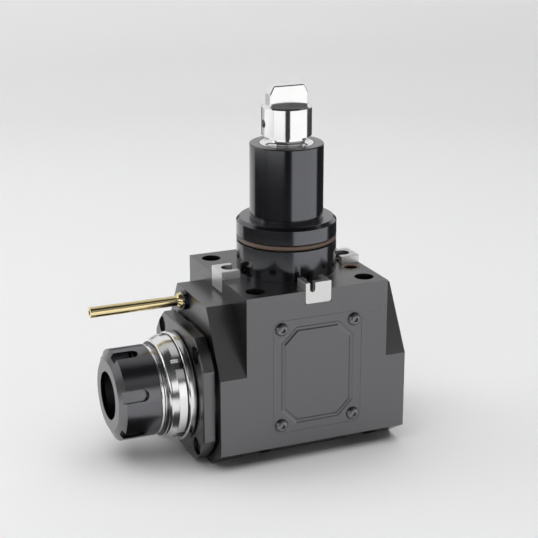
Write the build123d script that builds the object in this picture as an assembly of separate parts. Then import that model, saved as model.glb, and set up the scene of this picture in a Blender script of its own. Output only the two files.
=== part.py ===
from build123d import *
import os
from math import acos, cos, pi, radians, sin, sqrt, tan

# Live tool holder with a right-angle drive, in millimetres.
# The origin lies on the shank's axis at the mounting face. +Z runs up the shank.
# The spindle's nose points to -X and the shaped side cover faces -Y.

# Clearances
close_fit = 0.05
turning_gap = 0.3
slot_gap = 0.15
thread_room = 2.0

# Housing block
body_half_x = 41.25
body_half_y = 42.2
body_height = 96.9
nose_reach = 56.2
tail_reach = 53.1
base_half_y = 25.9
base_bevel = 9.9
shoulder_drop = 8.57
shoulder_half_y = 22.2
shoulder_slant_end = 43.7
spindle_depth = 59.35
chamber_r = 25.0
well_r = 24.5
rear_ledge_x = 28.0
rear_ledge = 2.0
rear_ledge_r = 16.5

# Turret bolts, M10
bolt_spacing = 64.0
bolt_hole_r = 5.25
bolt_head_r = 8.75
bolt_head_depth = 14.9

# Centring sleeve: spigot, groove and shank
register_r = 28.5
register_depth = 7.0
spigot_r = 27.5
spigot_top = 30.0
spigot_bevel = 1.8
groove_z = 18.7
groove_width = 3.6
o_ring_section_r = 1.5
shank_r = 20.15
shank_top = 70.85
shank_bevel = 0.5
relief_depth = 0.7
relief_height = 1.8
sleeve_bore_r = 13.0
nut_well_r = 18.0

# Drive shaft and its bearings
lower_bearing_bore_r = 12.5
lower_bearing_r = 26.0
lower_bearing_width = 15.0
upper_bearing_bore_r = 8.5
upper_bearing_r = 15.0
upper_bearing_width = 7.0
upper_bearing_count = 2
bearing_ring_wall = 3.2
small_ring_wall = 1.9
bearing_bevel = 0.6
shaft_collar_r = 15.5
shaft_collar = 4.0
shaft_mid_r = 10.2
drive_nut_r = 16.0
drive_nut_height = 6.5
spanner_slot_width = 4.0
circlip_thickness = 1.2
circlip_bite = 0.9
circlip_depth = 2.4
circlip_opening = 60.0
seal_thickness = 1.2

# Drive coupling with its tongue
coupling_disc_r = 14.7
coupling_disc = 3.0
coupling_neck_r = 10.5
coupling_neck = 4.4
coupling_r = 13.57
coupling_height = 16.05
coupling_bevel = 0.8
coupling_wall = 7.25
tongue_half_length = 11.1
tongue_half_width = 3.5
tongue_height = 11.05
tongue_bevel_height = 4.4
tongue_bevel = 2.2
tongue_edge = 0.5
pin_r = 2.25
pin_height = 6.8
pin_recess = 1.4

# Mitre bevel gears
gear_teeth = 24
gear_pitch_r = 22.0
gear_face = 10.0
gear_backlash = 0.5
gear_rim = 2.0
gear_hub_r = 16.0
pressure_angle = 20.0
drive_seat_r = 9.0
spindle_seat_r = 12.0
gear_washer_r = 11.0
gear_washer = 2.0
gear_screw_head_r = 5.5
gear_screw_head = 2.6
gear_screw_r = 3.0
gear_screw_length = 14.0
gear_nut_r = 13.0
gear_nut = 5.0

# Front flange with the spindle cartridge
flange_r = 42.0
flange_half_height = 35.0
flange_half_width = 37.0
flange_thickness = 6.6
flange_bevel = 0.6
flange_lip = 1.65
flange_lip_r = 27.5
cartridge_r = 33.0
cartridge_end_gap = 0.5
mesh_shim = 1.35
flange_screw_offset = 26.1
flange_screw_recess = 5.4
flange_screw_recess_r = 5.0

# Spindle and its bearings
spindle_r = 20.0
spindle_bearing_r = 31.0
spindle_bearing_width = 12.0
spindle_bearing_count = 2
spindle_nose_end = 101.5
spindle_collar_r = 24.0
spindle_mid_r = 11.5
lock_nut_r = 23.5
lock_nut = 6.0
rear_bearing_bore_r = 10.0
rear_bearing_r = 18.5
rear_bearing_width = 9.0
spindle_tail = 3.0
taper_mouth_r = 16.5
taper_angle = 8.0
tool_bore_r = 10.5
tool_bore_depth = 57.5

# Rings on the spindle nose
front_ring_r = 30.1
front_ring = 4.7
front_ring_round = 1.9
ring_split = 0.2
spanner_ring_r = 29.0
spanner_ring = 5.0
spanner_ring_bevel = 0.6
spanner_flare = 4.75
spanner_crown_r = 27.6
spanner_crown_round = 2.0
spanner_lip_r = 23.8
spanner_lip = 1.2
notch_count = 4
notch_width = 6.0
notch_depth = 2.5
notch_run_out = 1.0

# Clamping nut with its ring
nut_r = 25.0
nut_length = 22.39
nut_bevel_length = 2.94
nut_face_r = 19.2
nut_mouth_r = 13.3
nut_cone_r = 16.5
nut_cone = 2.5
nut_end_gap = 0.3
nut_slot_count = 6
nut_slot_width = 6.4
nut_slot_length = 15.6
nut_slot_depth = 2.8
nut_slot_turn = 13.5
nut_ring_r = 24.5
nut_ring = 2.0
nut_ring_round = 0.6

# Location keys
key_width = 15.0
key_proud = 4.3
key_sunk = 7.3
side_key_gap = 1.95
front_key_gap = 2.9
key_bevel = 0.8
key_top_bevel = 0.25
key_screw_inset = 3.9
key_recess_r = 4.1
key_recess_floor = 2.8
key_notch_centre = 3.5
key_notch_half = 1.5
key_notch_depth = 5.2

# Side covers
cover_half_width = 25.9
cover_top = 14.9
cover_bottom = 79.1
cover_thickness = 5.2
gasket_thickness = 0.8
cover_corner_r = 4.6
cover_window_r = 17.0
channel_half_width = 21.4
channel_margin = 4.2
channel_corner = 8.65
channel_width = 2.8
channel_depth = 1.2

# Screws: head radius, head height, shank radius, hexagon across flats
button_head = (3.8, 2.2, 2.0, 2.5)
key_screw_head = (3.5, 4.0, 2.0, 3.0)
flange_screw_head = (4.25, 3.5, 2.5, 4.0)
cover_screw_length = 14.0
key_screw_end_wall = 0.5
flange_screw_length = 20.0
hexagon_depth_share = 0.55
screw_hole_play = 0.25

# Coolant port on the mounting face
port_x = 32.8
port_y = -13.9
port_r = 3.5
port_depth = 20.0
port_seal_r = 4.5
port_seal_section_r = 0.8
port_seal_proud = 0.3

# Swivelling coolant nozzle
nozzle_y = 9.8
nozzle_z = -14.4
ball_r = 4.8
ball_inset = 1.4
nozzle_ring_r = 5.5
nozzle_ring_proud = 2.6
nozzle_tube_r = 3.0
nozzle_bore_r = 1.3
nozzle_length = 53.0
nozzle_gallery_r = 2.6
nozzle_gallery_depth = 8.0
nozzle_seal_r = 3.4
nozzle_seal_section_r = 1.2

# Tail plug
tail_plug = 4.0
tail_plug_inset = 2.6
tail_plug_bevel = 0.8

# Places that follow from the sizes above
bearing_well = register_depth + lower_bearing_width
shaft_collar_bottom = -(bearing_well + shaft_collar)
flange_back = nose_reach + mesh_shim
flange_face = flange_back + flange_thickness
bearing_front = flange_face - flange_lip
bearing_back = bearing_front - spindle_bearing_count * spindle_bearing_width
gear_stop = bearing_back - lock_nut
rear_bearing_front = rear_ledge_x + rear_ledge
rear_bearing_back = rear_bearing_front + rear_bearing_width
front_ring_back = flange_face + turning_gap
front_ring_front = front_ring_back + front_ring
spanner_back = front_ring_front + ring_split
spanner_front = spanner_back + spanner_ring
flare_end = spanner_front + spanner_flare
lip_end = flare_end + spanner_lip
nut_ring_back = lip_end + turning_gap
nut_back = nut_ring_back + nut_ring
nut_front = nut_back + nut_length
disc_top = shank_top - close_fit
disc_bottom = disc_top - coupling_disc
coupling_bottom = disc_top + coupling_neck
coupling_top = coupling_bottom + coupling_height
seal_top = disc_bottom - turning_gap
upper_bearing_top = seal_top - seal_thickness - circlip_thickness
upper_bearing_bottom = upper_bearing_top - upper_bearing_count * upper_bearing_width
shaft_top = coupling_top - coupling_wall
ball_x = nose_reach + ball_inset
ring_front_x = nose_reach + nozzle_ring_proud
nozzle_seal_x = ball_x - sqrt((ball_r + nozzle_seal_section_r + close_fit) ** 2 - nozzle_seal_r ** 2)
ring_back_x = nozzle_seal_x - nozzle_seal_section_r - close_fit
key_screw_length = cover_top - key_recess_floor - thread_room - key_screw_end_wall
mesh_shim_r = flange_screw_offset * sqrt(2) - flange_screw_head[2] - screw_hole_play

# Bevel tooth sizes, with the pitch cone at 45 degrees and its tip at the crossing of the axes
slope = sqrt(0.5)
gear_module = 2 * gear_pitch_r / gear_teeth
tooth_rise = gear_module
tooth_drop = 1.25 * gear_module
cone_length = gear_pitch_r / slope
inner_scale = (cone_length - gear_face) / cone_length
gear_front = inner_scale * (gear_pitch_r + tooth_drop * slope)
gear_back = gear_pitch_r + (tooth_drop + gear_rim) * slope

# Frame of the spindle: its +Z is the nose direction and its X is the world's +Z
spindle_frame = Plane(origin=(0, 0, -spindle_depth), x_dir=(0, 0, 1), z_dir=(-1, 0, 0))
nozzle_frame = Plane(origin=(0, nozzle_y, nozzle_z), x_dir=(0, 0, 1), z_dir=(-1, 0, 0))


# General shapes

def turned(*outline):
    """Solid of revolution about Z from (radius, height) points."""
    return revolve(make_face(Plane.XZ * Polyline(*outline, close=True)), Axis.Z)


def tube(outer, inner, bottom, top):
    """Ring about Z between two heights."""
    return turned((inner, bottom), (outer, bottom), (outer, top), (inner, top))


def rod(radius, bottom, top):
    """Cylinder about Z between two heights."""
    return Pos(0, 0, bottom) * Cylinder(radius, top - bottom, align=(Align.CENTER, Align.CENTER, Align.MIN))


def slab(x, y, z):
    """Box from three (low, high) pairs."""
    size = (x[1] - x[0], y[1] - y[0], z[1] - z[0])
    return Pos(x[0], y[0], z[0]) * Box(*size, align=(Align.MIN, Align.MIN, Align.MIN))


def prism_x(outline, start, end):
    """Prism along X from (y, z) points."""
    face = make_face(Plane.YZ.offset(start) * Polyline(*outline, close=True))
    return extrude(face, amount=end - start, dir=(1, 0, 0))


def on_spindle(shape):
    """Move a shape from the spindle's frame to the holder's."""
    return spindle_frame.location * shape


def at_nozzle(shape):
    """Move a shape from the nozzle's frame to the holder's."""
    return nozzle_frame.location * shape


def o_ring(major, section):
    """Round sealing ring about Z."""
    return Torus(major, section)


def bearing_outer(outer, inner, wall, bottom, width):
    """Outer ring of a shielded bearing, with both shields."""
    shield_r = inner + wall + turning_gap
    race_r = outer - wall
    shield = width / 6
    ring = turned(
        (shield_r, bottom), (outer - bearing_bevel, bottom), (outer, bottom + bearing_bevel),
        (outer, bottom + width - bearing_bevel), (outer - bearing_bevel, bottom + width),
        (shield_r, bottom + width), (shield_r, bottom + width - shield),
        (race_r, bottom + width - shield), (race_r, bottom + shield), (shield_r, bottom + shield),
    )
    return ring


def bearing_inner(inner, wall, bottom, width):
    """Inner ring of a bearing."""
    return tube(inner + wall, inner, bottom, bottom + width)


def circlip(outer, depth, bottom):
    """Open retaining ring about Z."""
    ring = tube(outer, outer - depth, bottom, bottom + circlip_thickness)
    reach = 2 * outer
    wedge = Polyline((0, 0), (reach, -reach * tan(radians(circlip_opening / 2))),
                     (reach, reach * tan(radians(circlip_opening / 2))), close=True)
    gap = extrude(Plane.XY.offset(bottom - 1) * make_face(wedge), amount=circlip_thickness + 2)
    return ring - gap


def slotted_nut(outer, inner, bottom, height):
    """Ring nut with four spanner slots, half its wall deep."""
    half = spanner_slot_width / 2
    slot = slab(((outer + inner) / 2, outer + 1), (-half, half), (bottom - 1, bottom + height + 1))
    return tube(outer, inner, bottom, bottom + height) - [Rot(0, 0, 90 * i) * slot for i in range(4)]


def hexagon_cut(across, top, depth):
    """Hexagon socket that opens upward at a height."""
    return Pos(0, 0, top - depth) * extrude(RegularPolygon(across / sqrt(3), 6), amount=depth)


def cap_screw(sizes, length):
    """Socket head screw: head on the plane z = 0 and shank below it."""
    head_r, head_height, shank_r, across = sizes
    bevel = head_height / 8
    body = turned((0, -length), (shank_r, -length), (shank_r, 0), (head_r, 0),
                  (head_r, head_height - bevel), (head_r - bevel, head_height), (0, head_height))
    return body - hexagon_cut(across, head_height, head_height * hexagon_depth_share)


def button_screw(sizes, length):
    """Button head screw: domed head on the plane z = 0 and shank below it."""
    head_r, head_height, shank_r, across = sizes
    crown_r = head_r / 2
    shoulder = (0.8 * head_r, 0.62 * head_height)
    outline = [Line((0, -length), (shank_r, -length)), Line((shank_r, -length), (shank_r, 0)),
               Line((shank_r, 0), (head_r, 0)),
               ThreePointArc((head_r, 0), shoulder, (crown_r, head_height)),
               Line((crown_r, head_height), (0, head_height)), Line((0, head_height), (0, -length))]
    body = revolve(make_face(Plane.XZ * Curve(outline)), Axis.Z)
    return body - hexagon_cut(across, head_height, head_height * hexagon_depth_share)


# Bevel gears

def tooth_half_angle(height):
    """Half the angle of a tooth about the gear's axis, at a height on the back cone."""
    back_r = gear_pitch_r / slope
    base_r = back_r * cos(radians(pressure_angle))
    half_pitch = (pi * gear_module / 2 - gear_backlash) / 2
    flank = acos(min(1.0, base_r / (back_r + height)))
    start = radians(pressure_angle)
    involute = (tan(start) - start) - (tan(flank) - flank)
    return (half_pitch / back_r + involute) / slope


def tooth_gap():
    """Cutter for the gap between two teeth, which narrows to the crossing of the axes."""
    back_r = gear_pitch_r / slope
    base_height = back_r * (cos(radians(pressure_angle)) - 1)
    flank_heights = [-tooth_drop, base_height, 0, tooth_rise, 2.2 * tooth_rise]
    right = []
    for height in flank_heights:
        radius = (gear_pitch_r + height * slope) / (gear_pitch_r - height * slope)
        angle = pi / gear_teeth - tooth_half_angle(height)
        right.append((radius * cos(angle), radius * sin(angle)))
    outline = right + [(x, -y) for x, y in reversed(right)]
    near = 0.85 * inner_scale * (gear_pitch_r - tooth_rise * slope)
    far = 1.1 * gear_back
    sections = []
    for distance in (near, far):
        points = [(distance * x, distance * y) for x, y in outline]
        sections.append(Plane.XY.offset(distance) * make_face(Polyline(*points, close=True)))
    return loft(sections, ruled=True)


def bevel_gear(bore_r, hub_end, turn, recess_r, recess):
    """Mitre gear about Z with the crossing of the axes at the origin."""
    rise = tooth_rise * slope
    rim = (tooth_drop + gear_rim) * slope
    root = tooth_drop * slope
    blank = turned(
        (bore_r, gear_front), (inner_scale * (gear_pitch_r - root), gear_front),
        (inner_scale * (gear_pitch_r + rise), inner_scale * (gear_pitch_r - rise)),
        (gear_pitch_r + rise, gear_pitch_r - rise), (gear_pitch_r - rim, gear_back),
        (gear_hub_r, gear_back), (gear_hub_r, hub_end), (bore_r, hub_end),
    )
    gap = tooth_gap()
    half_step = 180 / gear_teeth
    gaps = [Rot(0, 0, 2 * half_step * i + half_step + turn) * gap for i in range(gear_teeth)]
    gear = blank - gaps
    if recess:
        gear -= rod(recess_r, gear_front - 1, gear_front + recess)
    return gear


# Housing block and the pieces fixed to it

def block_profiles():
    """Central block and the lower shoulders at both ends."""
    base_z = base_bevel - body_height
    lower = [(body_half_y, base_z), (base_half_y, -body_height),
             (-base_half_y, -body_height), (-body_half_y, base_z)]
    core = prism_x([(-body_half_y, 0), (body_half_y, 0)] + lower, -body_half_x, body_half_x)
    slant = [(-body_half_y, -shoulder_slant_end), (-shoulder_half_y, -shoulder_drop),
             (shoulder_half_y, -shoulder_drop), (body_half_y, -shoulder_slant_end)]
    shoulders = prism_x(slant + lower, -nose_reach, tail_reach)
    return core + shoulders


def bolt_cuts():
    """Four through holes with head recesses from below."""
    half = bolt_spacing / 2
    hole = rod(bolt_hole_r, -body_height - 1, 1)
    recess = rod(bolt_head_r, -body_height - 1, -body_height + bolt_head_depth)
    cutter = hole + recess
    return [Pos(x, y, 0) * cutter for x in (-half, half) for y in (-half, half)]


def drive_cuts():
    """Bores about the drive axis."""
    register = rod(register_r, -register_depth, 1)
    seat = rod(lower_bearing_r, -bearing_well, -register_depth)
    well = rod(well_r, -spindle_depth, -bearing_well)
    return [register, seat, well]


def spindle_cuts():
    """Bores about the spindle's axis."""
    cartridge = rod(cartridge_r + close_fit, bearing_back, nose_reach + 1)
    chamber = rod(chamber_r, -rear_ledge_x, bearing_back)
    ledge = rod(rear_ledge_r, -rear_bearing_front, -rear_ledge_x)
    seat = rod(rear_bearing_r, -tail_reach - 1, -rear_bearing_front)
    grooves = [rod(rear_bearing_r + circlip_bite, -z - circlip_thickness, -z) for z in tail_circlip_places()]
    return [on_spindle(cut) for cut in [cartridge, chamber, ledge, seat] + grooves]


def tail_circlip_places():
    """Distances from the drive axis at which the two tail circlips start."""
    return [rear_bearing_back, tail_reach - tail_plug_inset]


def key_frames():
    """Turns of the four keys about the shank, with their inner ends off the register and outer ends."""
    side = (register_r + side_key_gap, body_half_x)
    front = (register_r + front_key_gap, body_half_y)
    return {
        "key_left": (180, *side), "key_right": (0, *side),
        "key_front": (-90, *front), "key_rear": (90, *front),
    }


def key_cuts():
    """Slots for the keys with the holes of their screws."""
    cuts = []
    half = key_width / 2 + slot_gap
    for turn, inner, face in key_frames().values():
        slot = slab((inner - slot_gap, face + 1), (-half, half), (-key_sunk, 1))
        shank = Pos(inner + key_screw_inset, 0, 0) * rod(
            key_screw_head[2], -key_recess_floor - key_screw_length - thread_room, -key_sunk)
        cuts += [Rot(0, 0, turn) * slot, Rot(0, 0, turn) * shank]
    return cuts


def cover_frames():
    """Frames on the two long sides, with Z pointing out of the block."""
    return {
        "front": Plane(origin=(0, -body_half_y, 0), x_dir=(1, 0, 0), z_dir=(0, -1, 0)),
        "rear": Plane(origin=(0, body_half_y, 0), x_dir=(-1, 0, 0), z_dir=(0, 1, 0)),
    }


def cover_outline():
    """Rounded outline of a cover, on the plane of the block's side."""
    height = cover_bottom - cover_top
    return Pos(0, -(cover_top + cover_bottom) / 2) * RectangleRounded(
        2 * cover_half_width, height, cover_corner_r)


def cover_screw_places():
    """Centres of a cover's corner screws."""
    x = cover_half_width - cover_corner_r
    return [(side * x, z) for side in (-1, 1) for z in (-cover_top - cover_corner_r,
                                                        -cover_bottom + cover_corner_r)]


def cover_cuts():
    """Recesses, windows and threaded holes for both covers."""
    cuts = []
    recess_depth = cover_thickness + gasket_thickness
    recess = Pos(0, 0, -recess_depth) * extrude(
        offset(cover_outline(), amount=close_fit), amount=recess_depth + 1)
    window = Pos(0, -spindle_depth, 0) * rod(cover_window_r, -body_half_y, -recess_depth)
    for frame in cover_frames().values():
        cuts += [frame.location * recess, frame.location * window]
        for x, y in cover_screw_places():
            hole = rod(button_head[2], -cover_screw_length - thread_room, -recess_depth)
            cuts.append(frame.location * Pos(x, y, 0) * hole)
    return cuts


def flange_screw_places():
    """Centres of the flange's screws in the spindle's frame."""
    return [(a * flange_screw_offset, b * flange_screw_offset) for a in (-1, 1) for b in (-1, 1)]


def flange_screw_cuts():
    """Threaded holes for the flange in the block's end."""
    bottom = flange_face - flange_screw_recess - flange_screw_length - thread_room
    hole = rod(flange_screw_head[2], bottom, nose_reach + 1)
    return [on_spindle(Pos(x, y, 0) * hole) for x, y in flange_screw_places()]


def coolant_cuts():
    """Coolant port on the mounting face, and the socket of the nozzle."""
    port = Pos(port_x, port_y, 0) * rod(port_r, -port_depth, 1)
    groove_depth = 2 * port_seal_section_r - port_seal_proud
    groove = Pos(port_x, port_y, 0) * rod(port_seal_r + port_seal_section_r, -groove_depth, 1)
    socket = rod(nozzle_ring_r + close_fit, ring_back_x, nose_reach + 1)
    gallery = rod(nozzle_gallery_r, ring_back_x - nozzle_gallery_depth, ring_back_x)
    return [port, groove, at_nozzle(socket), at_nozzle(gallery)]


def housing():
    """Block with all its bores, slots and recesses."""
    block = block_profiles()
    for cuts in (bolt_cuts(), drive_cuts(), spindle_cuts(), key_cuts(), cover_cuts(),
                 flange_screw_cuts(), coolant_cuts()):
        block -= cuts
    return block


def drive_sleeve():
    """Centring spigot and shank in one piece, with the seats of the shaft's upper bearings."""
    relief_r = shank_r - relief_depth
    body = turned(
        (nut_well_r, -register_depth), (register_r - close_fit, -register_depth),
        (register_r - close_fit, 0), (spigot_r, 0), (spigot_r, spigot_top - spigot_bevel),
        (spigot_r - spigot_bevel, spigot_top), (relief_r, spigot_top),
        (relief_r, spigot_top + relief_height), (shank_r, spigot_top + relief_height),
        (shank_r, shank_top - shank_bevel), (shank_r - shank_bevel, shank_top),
        (upper_bearing_r, shank_top), (upper_bearing_r, upper_bearing_bottom),
        (sleeve_bore_r, upper_bearing_bottom), (sleeve_bore_r, thread_room), (nut_well_r, thread_room),
    )
    groove_r = spigot_r - 2 * o_ring_section_r
    half = groove_width / 2
    groove = tube(spigot_r + 1, groove_r, groove_z - half, groove_z + half)
    clip_groove = rod(upper_bearing_r + circlip_bite, upper_bearing_top,
                      upper_bearing_top + circlip_thickness)
    return body - groove - clip_groove


def spigot_o_ring():
    """Sealing ring in the spigot's groove, pressed flush as in its bore."""
    return Pos(0, 0, groove_z) * o_ring(spigot_r - o_ring_section_r, o_ring_section_r)


def key(turn, inner, face, notched):
    """Location key with its screw recess, open to the shank, and the front one's release notch."""
    half = key_width / 2
    body = slab((inner, face), (-half, half), (-key_sunk, key_proud))
    long_edges = body.edges().filter_by(Axis.X).group_by(Axis.Z)
    body = chamfer(long_edges[0], key_bevel)
    body = chamfer(body.edges().filter_by(Axis.X).group_by(Axis.Z)[-1], key_top_bevel)
    x = inner + key_screw_inset
    recess = slab((inner - 1, x), (-key_recess_r, key_recess_r), (-key_recess_floor, key_proud + 1))
    body -= [Pos(x, 0, 0) * rod(key_recess_r, -key_recess_floor, key_proud + 1), recess]
    body -= Pos(x, 0, 0) * rod(key_screw_head[2] + screw_hole_play, -key_sunk - 1, -key_recess_floor)
    if notched:
        floor = key_proud - key_notch_depth
        centre = (0, -key_notch_centre, floor + key_notch_half)
        bottom = Plane(origin=centre, z_dir=(1, 0, 0)).location * Cylinder(
            key_notch_half, 4 * face, align=Align.CENTER)
        bottom &= slab((x, face + 1), (-half, half), (-key_sunk, key_proud))
        sides = (-key_notch_centre - key_notch_half, -key_notch_centre + key_notch_half)
        opening = slab((x, face + 1), sides, (floor + key_notch_half, key_proud + 1))
        body -= [bottom, opening]
    return Rot(0, 0, turn) * body


def key_screws():
    """One screw for each key."""
    screws = []
    for turn, inner, face in key_frames().values():
        x = inner + key_screw_inset
        screw = Pos(x, 0, -key_recess_floor) * cap_screw(key_screw_head, key_screw_length)
        screws.append(Rot(0, 0, turn) * screw)
    return screws


def channel_octagon(inset):
    """Octagon of the cover's channel, moved inward by an inset."""
    half_x = channel_half_width - inset
    half_z = (cover_bottom - cover_top) / 2 - channel_margin - inset
    corner = channel_corner - inset * (2 - sqrt(2))
    points = [(half_x, half_z - corner), (half_x - corner, half_z), (corner - half_x, half_z),
              (-half_x, half_z - corner), (-half_x, corner - half_z), (corner - half_x, -half_z),
              (half_x - corner, -half_z), (half_x, corner - half_z)]
    return Pos(0, -(cover_top + cover_bottom) / 2) * make_face(Polyline(*points, close=True))


def cover(side):
    """Side cover, flush with the block, with its octagonal channel."""
    plate = Pos(0, 0, -cover_thickness) * extrude(cover_outline(), amount=cover_thickness)
    channel = channel_octagon(0) - channel_octagon(channel_width)
    plate -= Pos(0, 0, -channel_depth) * extrude(channel, amount=channel_depth + 1)
    hole = rod(button_head[2] + screw_hole_play, -cover_thickness - 1, 1)
    plate -= [Pos(x, y, 0) * hole for x, y in cover_screw_places()]
    return cover_frames()[side].location * plate


def gasket(side):
    """Flat gasket under a side cover."""
    bottom = cover_thickness + gasket_thickness
    sheet = Pos(0, 0, -bottom) * extrude(cover_outline(), amount=gasket_thickness)
    sheet -= Pos(0, -spindle_depth, 0) * rod(cover_window_r, -bottom - 1, 0)
    hole = rod(button_head[2] + screw_hole_play, -bottom - 1, 1)
    sheet -= [Pos(x, y, 0) * hole for x, y in cover_screw_places()]
    return cover_frames()[side].location * sheet


def cover_screws(side):
    """Button head screws of one cover."""
    screw = button_screw(button_head, cover_screw_length)
    return [cover_frames()[side].location * Pos(x, y, 0) * screw for x, y in cover_screw_places()]


def flange_outline():
    """Round outline with flats on four sides."""
    return Circle(flange_r) & Rectangle(2 * flange_half_height, 2 * flange_half_width)


def flange_plate():
    """Front flange in one piece with the cartridge that holds the spindle's bearings."""
    plate = Pos(0, 0, flange_back) * extrude(flange_outline(), amount=flange_thickness)
    plate = chamfer(plate.faces().sort_by(Axis.Z)[-1].edges(), flange_bevel)
    plate += rod(cartridge_r, bearing_back + cartridge_end_gap, flange_face - flange_bevel)
    plate -= rod(spindle_bearing_r, bearing_back, bearing_front)
    plate -= rod(flange_lip_r, bearing_front - 1, flange_face + 1)
    floor = flange_face - flange_screw_recess
    recess = rod(flange_screw_recess_r, floor, flange_face + 1)
    hole = rod(flange_screw_head[2] + screw_hole_play, flange_back - 1, floor)
    places = flange_screw_places()
    plate -= [Pos(x, y, 0) * recess for x, y in places]
    plate -= [Pos(x, y, 0) * hole for x, y in places]
    return on_spindle(plate)


def flange_screws():
    """Sunk screws of the flange."""
    floor = flange_face - flange_screw_recess
    screw = Pos(0, 0, floor) * cap_screw(flange_screw_head, flange_screw_length)
    return [on_spindle(Pos(x, y, 0) * screw) for x, y in flange_screw_places()]


def gear_mesh_shim():
    """Ground ring between flange and block that sets the mesh of the gears."""
    return on_spindle(tube(mesh_shim_r, cartridge_r + close_fit, nose_reach, flange_back))


def coolant_o_ring():
    """Sealing ring of the coolant port."""
    z = port_seal_proud - port_seal_section_r
    return Pos(port_x, port_y, z) * o_ring(port_seal_r, port_seal_section_r)


def spindle_seal():
    """Lip seal in the flange, round the spindle's collar."""
    return on_spindle(tube(flange_lip_r, spindle_collar_r + turning_gap, bearing_front, flange_face))


def shaft_seal():
    """Seal at the top of the shank, above the circlip."""
    inner = upper_bearing_bore_r + small_ring_wall + turning_gap
    return tube(upper_bearing_r, inner, seal_top - seal_thickness, seal_top)


def tail_circlips():
    """Circlips behind the rear bearing and behind the plug."""
    outer = rear_bearing_r + circlip_bite
    return [on_spindle(circlip(outer, circlip_depth, -z - circlip_thickness)) for z in tail_circlip_places()]


def tail_plug_disc():
    """Plug that closes the spindle's bore at the tail."""
    outer = rear_bearing_r - close_fit
    rear = tail_plug_inset - tail_reach
    return on_spindle(turned((0, rear), (outer - tail_plug_bevel, rear), (outer, rear + tail_plug_bevel),
                             (outer, rear + tail_plug), (0, rear + tail_plug)))


# Pieces that turn with the drive shaft

def drive_shaft():
    """Stepped shaft from the gear's seat up to the coupling."""
    bottom = gear_front + gear_washer + close_fit - spindle_depth
    nut_top = -register_depth + drive_nut_height
    body = turned(
        (0, bottom), (drive_seat_r, bottom), (drive_seat_r, shaft_collar_bottom),
        (shaft_collar_r, shaft_collar_bottom), (shaft_collar_r, -bearing_well),
        (lower_bearing_bore_r, -bearing_well), (lower_bearing_bore_r, nut_top), (shaft_mid_r, nut_top),
        (shaft_mid_r, upper_bearing_bottom), (upper_bearing_bore_r, upper_bearing_bottom),
        (upper_bearing_bore_r, shaft_top), (0, shaft_top),
    )
    screw_hole = rod(gear_screw_r, bottom - 1, bottom + gear_screw_length + thread_room)
    return body - screw_hole - pin_hole(shaft_mid_r)


def pin_hole(half_length):
    """Cross hole of the coupling's pin."""
    frame = Plane(origin=(0, 0, coupling_bottom + pin_height), z_dir=(1, 0, 0))
    return frame.location * rod(pin_r, -half_length, half_length)


def drive_gear():
    """Bevel gear on the drive shaft."""
    hub_end = spindle_depth + shaft_collar_bottom
    gear = bevel_gear(drive_seat_r, hub_end, 0, gear_washer_r, gear_washer)
    return Pos(0, 0, -spindle_depth) * gear


def gear_clamp_washer():
    """Washer that holds the drive gear on its seat."""
    washer = tube(gear_washer_r - close_fit, gear_screw_r, gear_front, gear_front + gear_washer)
    return Pos(0, 0, -spindle_depth) * washer


def gear_clamp_screw():
    """Screw under the drive gear, with its head down."""
    sizes = (gear_screw_head_r, gear_screw_head, gear_screw_r, gear_screw_head_r)
    screw = cap_screw(sizes, gear_washer + gear_screw_length)
    return Pos(0, 0, gear_front - spindle_depth) * Rot(180, 0, 0) * screw


def drive_nut():
    """Nut that clamps the lower bearing."""
    return slotted_nut(drive_nut_r, lower_bearing_bore_r, -register_depth, drive_nut_height)


def upper_spacer():
    """Spacer between the upper bearings and the coupling."""
    return tube(upper_bearing_bore_r + small_ring_wall, upper_bearing_bore_r, upper_bearing_top, disc_bottom)


def drive_coupling():
    """Coupling with its dished foot and the driving tongue."""
    outline = [
        Line((0, disc_bottom), (coupling_disc_r, disc_bottom)),
        Line((coupling_disc_r, disc_bottom), (coupling_disc_r, disc_top)),
        ThreePointArc((coupling_disc_r, disc_top), (coupling_neck_r + 1, disc_top + 0.2 * coupling_neck),
                      (coupling_neck_r, disc_top + 0.6 * coupling_neck)),
        Line((coupling_neck_r, disc_top + 0.6 * coupling_neck), (coupling_neck_r, coupling_bottom)),
        Line((coupling_neck_r, coupling_bottom), (coupling_r, coupling_bottom)),
        Line((coupling_r, coupling_bottom), (coupling_r, coupling_top - coupling_bevel)),
        Line((coupling_r, coupling_top - coupling_bevel), (coupling_r - coupling_bevel, coupling_top)),
        Line((coupling_r - coupling_bevel, coupling_top), (0, coupling_top)),
        Line((0, coupling_top), (0, disc_bottom)),
    ]
    body = revolve(make_face(Plane.XZ * Curve(outline)), Axis.Z)
    body += tongue()
    body -= rod(upper_bearing_bore_r, disc_bottom - 1, shaft_top)
    return body - pin_hole(coupling_r + 1)


def tongue():
    """Flat driving tongue with bevelled ends."""
    base = coupling_top - 1
    top = coupling_top + tongue_height
    bevel_z = top - tongue_bevel_height
    narrow = tongue_half_length - tongue_bevel
    points = [(-tongue_half_length, base), (tongue_half_length, base), (tongue_half_length, bevel_z),
              (narrow, top), (-narrow, top), (-tongue_half_length, bevel_z)]
    face = make_face(Plane.XZ.offset(-tongue_half_width) * Polyline(*points, close=True))
    blade = extrude(face, amount=2 * tongue_half_width, dir=(0, -1, 0))
    upper = blade.edges().filter_by(Plane.XZ).group_by(Axis.Z)
    return chamfer(upper[-1] + upper[-2], tongue_edge)


def coupling_pin():
    """Cross pin through coupling and shaft."""
    return pin_hole(coupling_r - pin_recess)


# Pieces that turn with the spindle

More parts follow.
